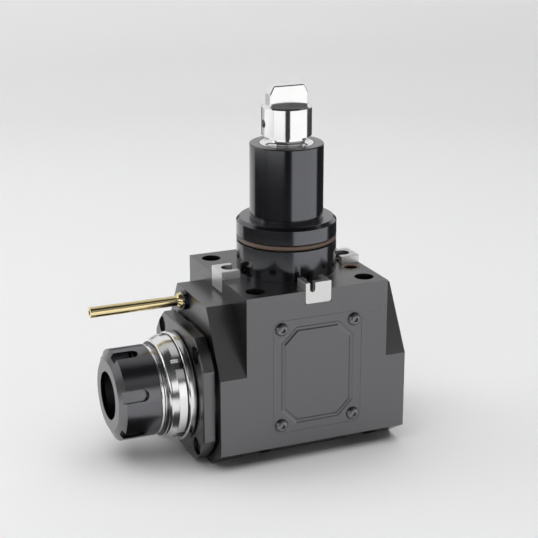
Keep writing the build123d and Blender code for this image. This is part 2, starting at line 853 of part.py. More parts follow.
def spindle():
    """Spindle with the collet taper in its nose."""
    tail = -rear_bearing_back - spindle_tail
    body = turned(
        (0, tail), (rear_bearing_bore_r, tail), (rear_bearing_bore_r, -rear_bearing_front),
        (spindle_mid_r, -rear_bearing_front), (spindle_mid_r, gear_front), (spindle_seat_r, gear_front),
        (spindle_seat_r, gear_stop), (spindle_r, gear_stop), (spindle_r, bearing_front),
        (spindle_collar_r, bearing_front), (spindle_collar_r, front_ring_back), (spindle_r, front_ring_back),
        (spindle_r, spindle_nose_end), (0, spindle_nose_end),
    )
    taper_end = spindle_nose_end - (taper_mouth_r - tool_bore_r) / tan(radians(taper_angle))
    bore = turned((0, spindle_nose_end - tool_bore_depth), (tool_bore_r, spindle_nose_end - tool_bore_depth),
                  (tool_bore_r, taper_end), (taper_mouth_r, spindle_nose_end), (0, spindle_nose_end))
    clip = -rear_bearing_back - circlip_thickness
    clip_groove = tube(rear_bearing_bore_r + 1, rear_bearing_bore_r - circlip_bite, clip, -rear_bearing_back)
    return on_spindle(body - bore - clip_groove)


def spindle_gear():
    """Bevel gear on the spindle, half a tooth out of step with the drive gear."""
    return on_spindle(bevel_gear(spindle_seat_r, gear_stop, 180 / gear_teeth, 0, 0))


def spindle_lock_nut():
    """Nut behind the front bearings."""
    return on_spindle(slotted_nut(lock_nut_r, spindle_r, gear_stop, lock_nut))


def gear_lock_nut():
    """Nut that holds the spindle gear on its seat."""
    return on_spindle(slotted_nut(gear_nut_r, spindle_mid_r, gear_front - gear_nut, gear_nut))


def tail_shaft_circlip():
    """Circlip on the spindle behind the rear bearing."""
    inner = rear_bearing_bore_r - circlip_bite
    ring = circlip(inner + circlip_depth, circlip_depth, -rear_bearing_back - circlip_thickness)
    return on_spindle(ring)


def front_ring_collar():
    """Rounded ring in front of the flange."""
    ring = tube(front_ring_r, spindle_r, front_ring_back, front_ring_front)
    edges = ring.edges().filter_by(GeomType.CIRCLE).group_by(SortBy.RADIUS)[-1]
    return on_spindle(fillet(edges, front_ring_round))


def spanner_ring_body():
    """Notched ring that flares down to the clamping nut."""
    bevel = spanner_ring_bevel
    ring = turned(
        (spindle_r, spanner_back), (spanner_ring_r, spanner_back), (spanner_ring_r, spanner_front - bevel),
        (spanner_ring_r - bevel, spanner_front), (spanner_crown_r, flare_end), (spanner_lip_r, flare_end),
        (spanner_lip_r, lip_end), (spindle_r, lip_end),
    )
    crown = [e for e in ring.edges().filter_by(GeomType.CIRCLE)
             if abs(e.radius - spanner_crown_r) < 0.01 and abs(e.center().Z - flare_end) < 0.01]
    ring = fillet(crown, spanner_crown_round)
    notch = slab((spanner_ring_r - notch_depth, spanner_ring_r + 1), (-notch_width / 2, notch_width / 2),
                 (spanner_back - 1, spanner_front + notch_run_out))
    step = 360 / notch_count
    return on_spindle(ring - [Rot(0, 0, step * (i + 0.5)) * notch for i in range(notch_count)])


# Clamping nut

def nut_back_ring():
    """Thin ring behind the clamping nut, which travels with it."""
    ring = tube(nut_ring_r, spindle_r + close_fit, nut_ring_back, nut_back)
    edges = ring.edges().filter_by(GeomType.CIRCLE).group_by(SortBy.RADIUS)[-1]
    return on_spindle(fillet(edges, nut_ring_round))


def nut_slot():
    """Cutter for one spanner slot, round at its inner end."""
    half = nut_slot_width / 2
    floor = nut_r - nut_slot_depth
    end = nut_front - nut_slot_length + half
    straight = slab((floor, nut_r + 1), (-half, half), (end, nut_front + 1))
    round_end = Plane(origin=(floor, 0, end), z_dir=(1, 0, 0)).location * rod(half, 0, nut_slot_depth + 1)
    return straight + round_end


def collet_nut():
    """Clamping nut with spanner slots and an open mouth."""
    inner_r = spindle_r + close_fit
    inner_end = spindle_nose_end + nut_end_gap
    cone_end = inner_end + nut_cone
    nut = turned(
        (inner_r, nut_back), (nut_r - 0.4, nut_back), (nut_r, nut_back + 0.4),
        (nut_r, nut_front - nut_bevel_length), (nut_face_r, nut_front), (nut_mouth_r, nut_front),
        (nut_mouth_r, cone_end), (nut_cone_r, inner_end), (inner_r, inner_end),
    )
    slot = nut_slot()
    step = 360 / nut_slot_count
    slots = [Rot(0, 0, step * i - nut_slot_turn) * slot for i in range(nut_slot_count)]
    return on_spindle(nut - slots)


# Coolant nozzle

def nozzle_retaining_ring():
    """Ring that holds the nozzle's ball in its socket."""
    ring = rod(nozzle_ring_r, ring_back_x, ring_front_x)
    seat = Pos(0, 0, ball_x) * Sphere(ball_r + close_fit)
    throat = rod(ball_r + close_fit, ring_back_x - 1, ball_x)
    return at_nozzle(ring - seat - throat)


def nozzle_seal():
    """Sealing ring behind the nozzle's ball."""
    return at_nozzle(Pos(0, 0, nozzle_seal_x) * o_ring(nozzle_seal_r, nozzle_seal_section_r))


def coolant_nozzle():
    """Ball and tube of the coolant nozzle."""
    ball = Pos(0, 0, ball_x) * Sphere(ball_r)
    barrel = rod(nozzle_tube_r, ball_x, ball_x + nozzle_length)
    bore = rod(nozzle_bore_r, ball_x - ball_r - 1, ball_x + nozzle_length + 1)
    return at_nozzle(ball + barrel - bore)


# Bearings

def stacked(maker, start, width, count):
    """Equal bearing rings side by side."""
    return [maker(start + i * width) for i in range(count)]


def lower_bearing_outer():
    """Outer ring of the drive shaft's lower bearing."""
    return bearing_outer(lower_bearing_r, lower_bearing_bore_r, bearing_ring_wall,
                         -bearing_well, lower_bearing_width)


def lower_bearing_inner():
    """Inner ring of the drive shaft's lower bearing."""
    return bearing_inner(lower_bearing_bore_r, bearing_ring_wall, -bearing_well, lower_bearing_width)


def upper_bearing_outers():
    """Outer rings of the bearings in the shank."""
    return stacked(lambda z: bearing_outer(upper_bearing_r, upper_bearing_bore_r, small_ring_wall, z,
                                           upper_bearing_width),
                   upper_bearing_bottom, upper_bearing_width, upper_bearing_count)


def upper_bearing_inners():
    """Inner rings of the bearings in the shank."""
    return stacked(lambda z: bearing_inner(upper_bearing_bore_r, small_ring_wall, z, upper_bearing_width),
                   upper_bearing_bottom, upper_bearing_width, upper_bearing_count)


def spindle_bearing_outers():
    """Outer rings of the spindle's front bearings."""
    rings = stacked(lambda z: bearing_outer(spindle_bearing_r, spindle_r, bearing_ring_wall, z,
                                            spindle_bearing_width),
                    bearing_back, spindle_bearing_width, spindle_bearing_count)
    return [on_spindle(ring) for ring in rings]


def spindle_bearing_inners():
    """Inner rings of the spindle's front bearings."""
    rings = stacked(lambda z: bearing_inner(spindle_r, bearing_ring_wall, z, spindle_bearing_width),
                    bearing_back, spindle_bearing_width, spindle_bearing_count)
    return [on_spindle(ring) for ring in rings]


def rear_bearing_outer():
    """Outer ring of the spindle's rear bearing."""
    return on_spindle(bearing_outer(rear_bearing_r, rear_bearing_bore_r, small_ring_wall,
                                    -rear_bearing_back, rear_bearing_width))


def rear_bearing_inner():
    """Inner ring of the spindle's rear bearing."""
    return on_spindle(bearing_inner(rear_bearing_bore_r, small_ring_wall, -rear_bearing_back,
                                    rear_bearing_width))


# The whole holder

def pieces():
    """Every piece by name, as one solid or a list of equal ones."""
    found = {
        "housing": housing(), "drive_sleeve": drive_sleeve(), "spigot_o_ring": spigot_o_ring(),
        "key_screws": key_screws(), "flange_plate": flange_plate(), "flange_screws": flange_screws(),
        "gear_mesh_shim": gear_mesh_shim(), "coolant_o_ring": coolant_o_ring(),
        "spindle_seal": spindle_seal(), "shaft_seal": shaft_seal(), "tail_circlips": tail_circlips(),
        "shank_circlip": circlip(upper_bearing_r + circlip_bite, circlip_depth, upper_bearing_top),
        "tail_plug": tail_plug_disc(), "drive_shaft": drive_shaft(), "drive_gear": drive_gear(),
        "gear_washer": gear_clamp_washer(), "gear_screw": gear_clamp_screw(), "drive_nut": drive_nut(),
        "upper_spacer": upper_spacer(), "drive_coupling": drive_coupling(), "coupling_pin": coupling_pin(),
        "spindle": spindle(), "spindle_gear": spindle_gear(), "spindle_lock_nut": spindle_lock_nut(),
        "gear_lock_nut": gear_lock_nut(), "tail_shaft_circlip": tail_shaft_circlip(),
        "front_ring": front_ring_collar(), "spanner_ring": spanner_ring_body(),
        "nut_ring": nut_back_ring(), "collet_nut": collet_nut(), "nozzle_ring": nozzle_retaining_ring(),
        "nozzle_seal": nozzle_seal(), "coolant_nozzle": coolant_nozzle(),
        "lower_bearing_outer": lower_bearing_outer(), "lower_bearing_inner": lower_bearing_inner(),
        "upper_bearing_outers": upper_bearing_outers(), "upper_bearing_inners": upper_bearing_inners(),
        "spindle_bearing_outers": spindle_bearing_outers(),
        "spindle_bearing_inners": spindle_bearing_inners(),
        "rear_bearing_outer": rear_bearing_outer(), "rear_bearing_inner": rear_bearing_inner(),
    }
    for name, (turn, inner, face) in key_frames().items():
        found[name] = key(turn, inner, face, name == "key_front")
    for side in cover_frames():
        found[side + "_cover"] = cover(side)
        found[side + "_gasket"] = gasket(side)
        found[side + "_cover_screws"] = cover_screws(side)
    return found


def solids_of(piece):
    """All solids of one piece or of a list of pieces."""
    members = piece if isinstance(piece, list) else [piece]
    return [solid for member in members for solid in member.solids()]


os.makedirs("parts", exist_ok=True)
for name, piece in pieces().items():
    solids = solids_of(piece)
    shape = solids[0] if len(solids) == 1 else Compound(solids)
    export_step(shape, "parts/" + name + ".step")
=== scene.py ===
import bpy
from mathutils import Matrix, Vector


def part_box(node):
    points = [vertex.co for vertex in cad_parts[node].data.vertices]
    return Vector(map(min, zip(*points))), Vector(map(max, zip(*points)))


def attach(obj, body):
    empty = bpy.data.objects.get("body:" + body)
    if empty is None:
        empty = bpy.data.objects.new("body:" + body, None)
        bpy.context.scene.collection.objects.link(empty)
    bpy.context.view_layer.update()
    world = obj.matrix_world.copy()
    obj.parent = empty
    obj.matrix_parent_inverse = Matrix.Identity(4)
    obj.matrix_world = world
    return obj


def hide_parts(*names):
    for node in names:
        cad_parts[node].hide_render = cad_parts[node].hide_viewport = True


bl_info = {
    "name": "Live tool holder",
    "version": (1, 0, 0),
    "blender": (4, 5, 0),
    "location": "View3D > Sidebar > Tool holder",
    "description": "Finishes and fine shapes of a right-angle live tool holder",
    "category": "Object",
}

from math import cos, pi, radians, sin, sqrt

import bmesh
import bpy
from mathutils import Matrix, Vector

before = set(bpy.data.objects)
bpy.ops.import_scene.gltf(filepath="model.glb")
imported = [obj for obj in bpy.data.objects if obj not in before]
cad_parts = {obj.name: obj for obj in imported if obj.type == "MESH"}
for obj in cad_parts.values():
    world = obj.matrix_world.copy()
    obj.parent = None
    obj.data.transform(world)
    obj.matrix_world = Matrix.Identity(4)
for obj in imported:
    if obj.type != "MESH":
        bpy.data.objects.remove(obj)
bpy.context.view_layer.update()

MM = 0.001
X, Y, Z = 0, 1, 2

# Steps of round shapes, by size
NUT_STEPS, ROUND_STEPS, SMALL_STEPS, PORT_STEPS, DRUM_STEPS = 240, 192, 96, 64, 48

# Edges sharper than the first angle are rounded, faces flatter than the second are joined
SHARP_ANGLE, FLAT_ANGLE = radians(22), radians(0.3)

# How far large faces rule the weighted normals, out of a hundred
FACE_WEIGHT = 90

# Merge distances of a CAD copy in metres and of a new shape in millimetres
CAD_MERGE, SHAPE_MERGE = 1e-6, 1e-4

# Radii of the spindle's nose and of its thread's bores, in millimetres
NOSE_RADIUS, THREAD_BORE = 20.0, 20.05

# Places of a Mix node's sockets for colours
MIX_FACTOR, MIX_FIRST, MIX_SECOND, MIX_RESULT = 0, 6, 7, 2

# Stretch of a noise whose lines run round an axis or along it, and the mean of a noise
ROUND_Z, ROUND_X = (0.02, 0.02, 1.0), (1.0, 0.02, 0.02)
ALONG_X, ALONG_Z = (0.05, 1.0, 1.0), (1.0, 1.0, 0.05)
NOISE_MEAN = 0.5

# Camera fitted to the photograph, and the pale tone of its background
CAMERA_PLACE = (-0.312283, -0.696592, 0.245692)
CAMERA_TURN, CAMERA_LIFT = radians(-23.437), radians(17.917)
PALE = (0.8, 0.8, 0.8, 1.0)


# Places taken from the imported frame, in millimetres

def span(node, axis):
    """Low and high end of a CAD node along an axis, in millimetres."""
    low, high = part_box(node)
    return low[axis] / MM, high[axis] / MM


def middle(node, axis):
    """Centre of a CAD node along an axis, in millimetres."""
    low, high = span(node, axis)
    return (low + high) / 2


def along_x(y, z):
    """Place on a line along X, with Z turned to minus X."""
    return Matrix(((0, 0, -1, 0), (0, 1, 0, y), (1, 0, 0, z), (0, 0, 0, 1)))


NOZZLE_Y = middle("nozzle_ring", Y)
TO_SPINDLE = along_x(0, middle("spindle", Z))
TO_NOZZLE = along_x(NOZZLE_Y, middle("nozzle_ring", Z))
STAGE_FLOOR = span("housing", Z)[0]


# Mesh tools

def finish_mesh(name, mesh, body, finish, *nodes, ends=None, axis=Z, square=0.8):
    """Put a finished mesh in the scene as a piece that stands for CAD nodes.

    Faces square to the axis get the finish named by ends, if there is one: a paler or darker copy of the
    metal, which paints light or shade on those faces.
    """
    piece = bpy.data.objects.new(name, mesh)
    bpy.context.scene.collection.objects.link(piece)
    mesh.materials.clear()
    mesh.materials.append(material(finish))
    if ends:
        mesh.materials.append(material(ends))
        # Painted light and shade: faces square to the axis take the paler or darker copy
        for face in mesh.polygons:
            face.material_index = int(abs(face.normal[axis]) > square)
    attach(piece, body)
    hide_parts(*nodes)
    return piece


def modified(mesh, *modifiers):
    """Mesh with modifiers applied, each given as a type and its settings."""
    holder = bpy.data.objects.new("blank", mesh)
    bpy.context.scene.collection.objects.link(holder)
    for kind, settings in modifiers:
        modifier = holder.modifiers.new(kind, kind)
        for name, value in settings.items():
            setattr(modifier, name, value)
    depsgraph = bpy.context.evaluated_depsgraph_get()
    result = bpy.data.meshes.new_from_object(holder.evaluated_get(depsgraph), depsgraph=depsgraph,
                                             preserve_all_data_layers=True)
    bpy.data.objects.remove(holder)
    return result


def rounding(width, steps=2):
    """Bevel modifier that rounds sharp edges."""
    return ("BEVEL", {"width": width, "segments": steps, "limit_method": "ANGLE",
                      "angle_limit": SHARP_ANGLE, "miter_outer": "MITER_ARC"})


def smooth(mesh):
    """Shade a mesh smooth, with its sharp edges kept and its flat faces left flat."""
    mesh.shade_smooth()
    mesh.set_sharp_from_angle(angle=SHARP_ANGLE)
    return modified(mesh, ("WEIGHTED_NORMAL", {"keep_sharp": True, "weight": FACE_WEIGHT}))


def merged(node):
    """Bmesh of a CAD node with its triangles joined into whole faces."""
    bm = bmesh.new()
    bm.from_mesh(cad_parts[node].data)
    bmesh.ops.remove_doubles(bm, verts=bm.verts, dist=CAD_MERGE)
    bmesh.ops.dissolve_limit(bm, angle_limit=FLAT_ANGLE, verts=bm.verts, edges=bm.edges)
    return bm


def eased(node, width, bm=None):
    """Copy of a CAD node, or of its worked bmesh, with its sharp edges rounded."""
    bm = bm or merged(node)
    mesh = bpy.data.meshes.new(node)
    bm.to_mesh(mesh)
    bm.free()
    return smooth(modified(mesh, rounding(width * MM)))


def lathe(outline, steps=ROUND_STEPS):
    """Spin a closed outline of (radius, height) points about Z."""
    bm = bmesh.new()
    verts = [bm.verts.new((r, 0, h)) for r, h in outline]
    edges = [bm.edges.new((a, b)) for a, b in zip(verts, verts[1:] + verts[:1])]
    axis_edges = [e for e in edges if all(abs(v.co.x) < SHAPE_MERGE for v in e.verts)]
    bmesh.ops.delete(bm, geom=axis_edges, context="EDGES_FACES")
    bmesh.ops.spin(bm, geom=bm.verts[:] + bm.edges[:], cent=(0, 0, 0), axis=(0, 0, 1),
                   angle=2 * pi, steps=steps, use_merge=True)
    bmesh.ops.remove_doubles(bm, verts=bm.verts, dist=SHAPE_MERGE)
    bmesh.ops.recalc_face_normals(bm, faces=bm.faces)
    return bm


def arc(radius, height, size, start, end, steps):
    """Points of a circle about a (radius, height) centre, between two angles from the axis."""
    turns = [start + (end - start) * i / steps for i in range(steps + 1)]
    return [(radius + size * sin(t), height + size * cos(t)) for t in turns]


def block(x, y, z):
    """Box from three (low, high) pairs."""
    bm = bmesh.new()
    bmesh.ops.create_cube(bm, size=1.0)
    size = [pair[1] - pair[0] for pair in (x, y, z)]
    centre = [(pair[0] + pair[1]) / 2 for pair in (x, y, z)]
    return moved(bm, Matrix.Translation(centre) @ Matrix.Diagonal((*size, 1)))


def drum(radius, low, high):
    """Cylinder about Z."""
    bm = bmesh.new()
    place = Matrix.Translation((0, 0, (low + high) / 2))
    bmesh.ops.create_cone(bm, cap_ends=True, segments=DRUM_STEPS, radius1=radius, radius2=radius,
                          depth=high - low, matrix=place)
    return bm


def extruded(points, low, high):
    """Prism along Z over a flat outline of (x, y) points."""
    bm = bmesh.new()
    base = bm.faces.new([bm.verts.new((x, y, low)) for x, y in points])
    grown = bmesh.ops.extrude_face_region(bm, geom=[base])
    top = [item for item in grown["geom"] if isinstance(item, bmesh.types.BMVert)]
    bmesh.ops.translate(bm, verts=top, vec=(0, 0, high - low))
    bmesh.ops.recalc_face_normals(bm, faces=bm.faces)
    return bm


def moved(bm, matrix):
    """Move a bmesh in place."""
    bmesh.ops.transform(bm, matrix=matrix, verts=bm.verts)
    return bm


def shift(x, y, z):
    """Translation in millimetres."""
    return Matrix.Translation((x, y, z))


def turn(degrees, axis="Z"):
    """Rotation about an axis."""
    return Matrix.Rotation(radians(degrees), 4, axis)


def settled(bm):
    """Mesh of a bmesh with its doubles merged and its faces pointing outwards."""
    mesh = bpy.data.meshes.new("shape")
    bmesh.ops.remove_doubles(bm, verts=bm.verts, dist=SHAPE_MERGE)
    bmesh.ops.recalc_face_normals(bm, faces=bm.faces)
    bm.to_mesh(mesh)
    bm.free()
    return mesh


def temporary(bm):
    """Object that holds a cutter in millimetres while it cuts."""
    holder = bpy.data.objects.new("cutter", settled(bm))
    bpy.context.scene.collection.objects.link(holder)
    return holder


def carved(bm, cutters, bevel, matrix=None, steps=2):
    """Mesh of a bmesh with cutters taken away and its sharp edges rounded."""
    tools = [temporary(cutter) for cutter in cutters]
    modifiers = [("BOOLEAN", {"object": tool, "operation": "DIFFERENCE", "solver": "EXACT"})
                 for tool in tools]
    if bevel:
        modifiers.append(rounding(bevel, steps))
    mesh = modified(settled(bm), *modifiers)
    for tool in tools:
        bpy.data.objects.remove(tool)
    mesh.transform(Matrix.Scale(MM, 4) @ (matrix or Matrix.Identity(4)))
    return smooth(mesh)


def turned_mesh(outline, bevel, matrix=None, steps=ROUND_STEPS):
    """Smooth lathe-turned mesh with rounded edges."""
    return carved(lathe(outline, steps), [], bevel, matrix)


# Material tools

class Wire:
    """A node's output, with arithmetic that adds Math nodes."""

    def __init__(self, finish, node, output=0):
        self.finish, self.node, self.socket = finish, node, node.outputs[output]

    def out(self, output):
        """Another output of the same node."""
        return Wire(self.finish, self.node, output)

    def maths(self, operation, *values):
        """Math node on this value and others."""
        return self.finish.add("ShaderNodeMath", {"operation": operation}, dict(enumerate(values)))

    def __add__(self, other):
        return self.maths("ADD", self, other)

    def __radd__(self, other):
        return self.maths("ADD", other, self)

    def __sub__(self, other):
        return self.maths("SUBTRACT", self, other)

    def __rsub__(self, other):
        return self.maths("SUBTRACT", other, self)

    def __mul__(self, other):
        return self.maths("MULTIPLY", self, other)

    def __rmul__(self, other):
        return self.maths("MULTIPLY", other, self)

    def clamped(self):
        """This value kept between nought and one."""
        return self.finish.add("ShaderNodeClamp", {}, {"Value": self})


class Finish:
    """Material with a Principled shader, and a method that adds any node."""

    def __init__(self, name, **constants):
        self.material = bpy.data.materials.new(name)
        self.material.use_nodes = True
        self.tree = self.material.node_tree
        self.tree.nodes.clear()
        self.output = self.tree.nodes.new("ShaderNodeOutputMaterial")
        self.shader = self.tree.nodes.new("ShaderNodeBsdfPrincipled")
        self.tree.links.new(self.shader.outputs[0], self.output.inputs["Surface"])
        self.coords = self.add("ShaderNodeTexCoord", {}, {}).out("Object")
        self.set(**constants)

    def add(self, kind, settings, values):
        """Add a node: its settings first, then the values or links of its sockets."""
        node = self.tree.nodes.new(kind)
        for name, value in settings.items():
            setattr(node, name, value)
        for name, value in values.items():
            self.feed(node.inputs[name], value)
        return Wire(self, node)

    def feed(self, socket, value):
        """Link a wire to a socket, or set its value."""
        if isinstance(value, Wire):
            self.tree.links.new(value.socket, socket)
        else:
            socket.default_value = value

    def set(self, **values):
        """Set or link the shader's sockets, named with underscores for spaces."""
        for name, value in values.items():
            self.feed(self.shader.inputs[name.replace("_", " ")], value)

    def noise(self, scale, detail, roughness, stretch=None):
        """Noise on the object's own coordinates, stretched where a stretch is given."""
        place = self.coords
        if stretch:
            place = self.add("ShaderNodeMapping", {}, {"Vector": place, "Scale": stretch})
        return self.add("ShaderNodeTexNoise", {}, {"Vector": place, "Scale": scale, "Detail": detail,
                                                   "Roughness": roughness})

    def mix(self, factor, first, second):
        """Blend of two colours."""
        values = {MIX_FACTOR: factor, MIX_FIRST: first, MIX_SECOND: second}
        return self.add("ShaderNodeMix", {"data_type": "RGBA"}, values).out(MIX_RESULT)

    def bump(self, height, distance, strength):
        """Bump node on a height, with its distance in metres."""
        values = {"Height": height, "Distance": distance, "Strength": strength}
        return self.add("ShaderNodeBump", {}, values)


def rgba(colour, factor):
    """Colour with alpha, scaled in brightness."""
    return (colour[0] * factor, colour[1] * factor, colour[2] * factor, 1.0)


# Settings that a user would change

class HolderFinishes(bpy.types.PropertyGroup):
    """Colours of the holder's finishes."""

    ground_steel: bpy.props.FloatVectorProperty(
        name="Ground steel", description="Satin ground steel of block, flange and covers",
        subtype="COLOR", size=3, min=0, max=1, default=(0.168, 0.168, 0.173))
    key_steel: bpy.props.FloatVectorProperty(
        name="Key steel", description="Bright ground steel of the location keys",
        subtype="COLOR", size=3, min=0, max=1, default=(0.76, 0.76, 0.75))
    black_oxide: bpy.props.FloatVectorProperty(
        name="Black oxide", description="Glossy black of spigot and shank",
        subtype="COLOR", size=3, min=0, max=1, default=(0.12, 0.122, 0.132))
    nut_black: bpy.props.FloatVectorProperty(
        name="Nut black", description="Satin black of the clamping nut",
        subtype="COLOR", size=3, min=0, max=1, default=(0.17, 0.171, 0.182))
    bright_steel: bpy.props.FloatVectorProperty(
        name="Bright steel", description="Polished rings and coupling",
        subtype="COLOR", size=3, min=0, max=1, default=(0.96, 0.96, 0.955))
    brass: bpy.props.FloatVectorProperty(
        name="Brass", description="Coolant nozzle",
        subtype="COLOR", size=3, min=0, max=1, default=(0.95, 0.79, 0.44))
    seal_brown: bpy.props.FloatVectorProperty(
        name="Seal brown", description="Brown sealing rings",
        subtype="COLOR", size=3, min=0, max=1, default=(0.165, 0.115, 0.088))


class HolderSizes(bpy.types.PropertyGroup):
    """Fine sizes of the holder's edges."""

    edge_round: bpy.props.FloatProperty(
        name="Edge round", description="Rounding of machined edges in millimetres",
        min=0.05, max=1.0, default=0.25)
    fine_round: bpy.props.FloatProperty(
        name="Fine edge round", description="Rounding of ground edges in millimetres",
        min=0.02, max=0.5, default=0.12)


class StudioSettings(bpy.types.PropertyGroup):
    """Light of the studio."""

    top_power: bpy.props.FloatProperty(
        name="Top lamp", description="Power of the large lamp above", unit="POWER",
        min=0, max=500, default=40.0)
    left_power: bpy.props.FloatProperty(
        name="Left lamp", description="Power of the lamp on the left", unit="POWER",
        min=0, max=500, default=6.0)
    card_level: bpy.props.FloatProperty(
        name="White cards", description="Brightness of the white cards in the reflections",
        min=0, max=1.5, default=1.0)


# Materials

def ground(name, base, along, grain=0.06, roughness=0.30):
    """Ground steel: fine lines along one direction with faint cloudy patches."""
    finish = Finish(name, Metallic=1.0)
    contrast, patches, unevenness = 0.18, 0.10, 0.10
    lines = finish.noise(scale=900.0, detail=4.0, roughness=0.7, stretch=along)
    cloud = finish.noise(scale=28.0, detail=3.0, roughness=0.5)
    tone = (lines - NOISE_MEAN) * grain + (cloud - NOISE_MEAN) * patches + NOISE_MEAN
    colour = finish.mix(tone.clamped(), rgba(base, 1 - contrast), rgba(base, 1 + contrast))
    varied = (lines - NOISE_MEAN) * unevenness + (cloud - NOISE_MEAN) * unevenness + roughness
    finish.set(Base_Color=colour, Roughness=varied,
               Normal=finish.bump(lines, distance=4e-6, strength=0.5))
    return finish.material


def worked(name, base, roughness, lines, clouds, contrast, unevenness, relief, strength, **constants):
    """Finish with fine lines or grain in its relief and faint clouds in its tone.

    Lines and clouds each hold a noise's scale, detail and roughness, and its stretch where it has
    one. Unevenness holds how far the roughness follows the lines and the clouds.
    """
    finish = Finish(name, **constants)
    grain, cloud = finish.noise(*lines), finish.noise(*clouds)
    by_grain, by_cloud = unevenness
    varied = (grain - NOISE_MEAN) * by_grain + (cloud - NOISE_MEAN) * by_cloud + roughness
    finish.set(Base_Color=finish.mix(cloud, rgba(base, 1 - contrast), rgba(base, 1 + contrast)),
               Roughness=varied, Normal=finish.bump(grain, relief, strength))
    return finish.material


def black_oxide(name, base):
    """Glossy black oxide on turned steel."""
    return worked(name, base, roughness=0.17, lines=(700.0, 3.0, 0.6, ROUND_Z), clouds=(40.0, 3.0, 0.5),
                  contrast=0.15, unevenness=(0.04, 0.04), relief=2e-6, strength=0.3,
                  Metallic=1.0, Coat_Weight=0.25, Coat_Roughness=0.10)


def nut_black(name, base):
    """Satin black oxide of the nut."""
    return worked(name, base, roughness=0.24, lines=(800.0, 3.0, 0.6, ROUND_X), clouds=(60.0, 3.0, 0.5),
                  contrast=0.08, unevenness=(0.03, 0.04), relief=2e-6, strength=0.2, Metallic=1.0)


def painted_tone_copy(name, base):
    """Copy of satin steel with its base tone painted paler or darker, as painted light or painted shade on
    the faces that take it.
    """
    return worked(name, base, roughness=0.30, lines=(500.0, 3.0, 0.6), clouds=(50.0, 3.0, 0.5),
                  contrast=0.15, unevenness=(0.08, 0.08), relief=3e-6, strength=0.4, Metallic=1.0)


def polished(name, base, roughness, along):
    """Polished steel with faint turning lines."""
    return worked(name, base, roughness, lines=(900.0, 3.0, 0.6, along), clouds=(90.0, 2.0, 0.5),
                  contrast=0.05, unevenness=(0.03, 0.04), relief=2e-6, strength=0.3, Metallic=1.0)


def dark_steel(name, base):
    """Dark oiled steel of screws."""
    finish = Finish(name, Metallic=1.0)
    dark, pale, unevenness, roughness = 0.5, 0.9, 0.12, 0.30
    cloud = finish.noise(scale=300.0, detail=3.0, roughness=0.5)
    finish.set(Base_Color=finish.mix(cloud, rgba(base, dark), rgba(base, pale)),
               Roughness=(cloud - NOISE_MEAN) * unevenness + roughness)
    return finish.material


def brass(name, base):
    """Turned and polished brass."""
    return worked(name, base, roughness=0.14, lines=(700.0, 2.0, 0.5, (1.0, 0.03, 0.03)),
                  clouds=(70.0, 2.0, 0.5), contrast=0.04, unevenness=(0.02, 0.02), relief=1e-6,
                  strength=0.2, Metallic=1.0)


def rubber(name, base):
    """Moulded rubber with a fine skin."""
    return worked(name, base, roughness=0.42, lines=(2500.0, 2.0, 0.6), clouds=(120.0, 3.0, 0.5),
                  contrast=0.15, unevenness=(0.15, 0.0), relief=8e-6, strength=0.5)


MADE = {}


def material(name):
    """A finish by name, made once."""
    if name not in MADE:
        colours = bpy.context.scene.holder_finishes
        steel, bright = Vector(colours.ground_steel), colours.bright_steel
        makers = {
            "ground_steel": (ground, steel, ALONG_X),
            "cover_steel": (ground, steel, ALONG_X, 0.06, 0.32),
            "key_steel": (ground, colours.key_steel, ALONG_Z, 0.10, 0.36),
            "plain_steel": (ground, 1.6 * steel, (1.0, 1.0, 1.0), 0.06, 0.34),
            "black_oxide": (black_oxide, colours.black_oxide),
            "nut_black": (nut_black, colours.nut_black),
            "dark_steel": (dark_steel, colours.nut_black),
            # Paler copies of the steel paint light on end faces and on the cover screws; a darker copy
            # paints shade on the notched ring's faces and on its thin back ring
            "black_face": (painted_tone_copy, 1.3 * steel),
            "nut_face": (painted_tone_copy, 1.3 * steel),
            "ring_ledge": (painted_tone_copy, 0.25 * steel),
            "bright_steel": (polished, bright, 0.12, ROUND_Z),
            "ring_steel": (polished, bright, 0.20, ROUND_X),
            "brass": (brass, colours.brass),
            "seal_brown": (rubber, colours.seal_brown),
            "black_rubber": (rubber, (0.02, 0.02, 0.021)),
        }
        maker, *values = makers[name]
        MADE[name] = maker(name, *values)
    return MADE[name]


NODE_FINISHES = {
    "ground_steel": ["housing", "flange_plate", "tail_plug"],
    "cover_steel": ["front_cover", "rear_cover"],
    "key_steel": ["key_front", "key_rear", "key_left", "key_right"],
    "black_oxide": ["drive_sleeve", "nozzle_ring"],
    "nut_black": ["collet_nut"],
    "bright_steel": ["drive_coupling"],
    "ring_steel": ["front_ring", "spanner_ring", "nut_ring"],
    "plain_steel": [
        "gear_mesh_shim", "shank_circlip", "tail_circlips", "lower_bearing_outer", "upper_bearing_outers",
        "spindle_bearing_outers", "rear_bearing_outer", "drive_shaft", "drive_gear", "gear_washer",
        "drive_nut", "upper_spacer", "coupling_pin", "lower_bearing_inner", "upper_bearing_inners",
        "spindle_gear", "spindle_lock_nut", "gear_lock_nut", "tail_shaft_circlip",
        "spindle_bearing_inners", "rear_bearing_inner"],
    "dark_steel": [
        "spindle", "key_screws", "flange_screws", "front_cover_screws", "rear_cover_screws",
        "gear_screw"],
    "brass": ["coolant_nozzle"],
    "seal_brown": ["spigot_o_ring", "coolant_o_ring"],
    "black_rubber": ["spindle_seal", "shaft_seal", "front_gasket", "rear_gasket", "nozzle_seal"],
}


# Operators

class FinishCadPieces(bpy.types.Operator):
    """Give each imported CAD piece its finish"""

    bl_idname = "holder.finish_cad_pieces"
    bl_label = "Finish CAD pieces"

    def execute(self, context):
        given = set()
        for finish, nodes in NODE_FINISHES.items():
            for node in nodes:
                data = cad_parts[node].data
                data.materials.clear()
                data.materials.append(material(finish))
                given.add(node)
        left = set(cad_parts) - given
        if left:
            raise RuntimeError("no finish for " + ", ".join(sorted(left)))
        return {"FINISHED"}


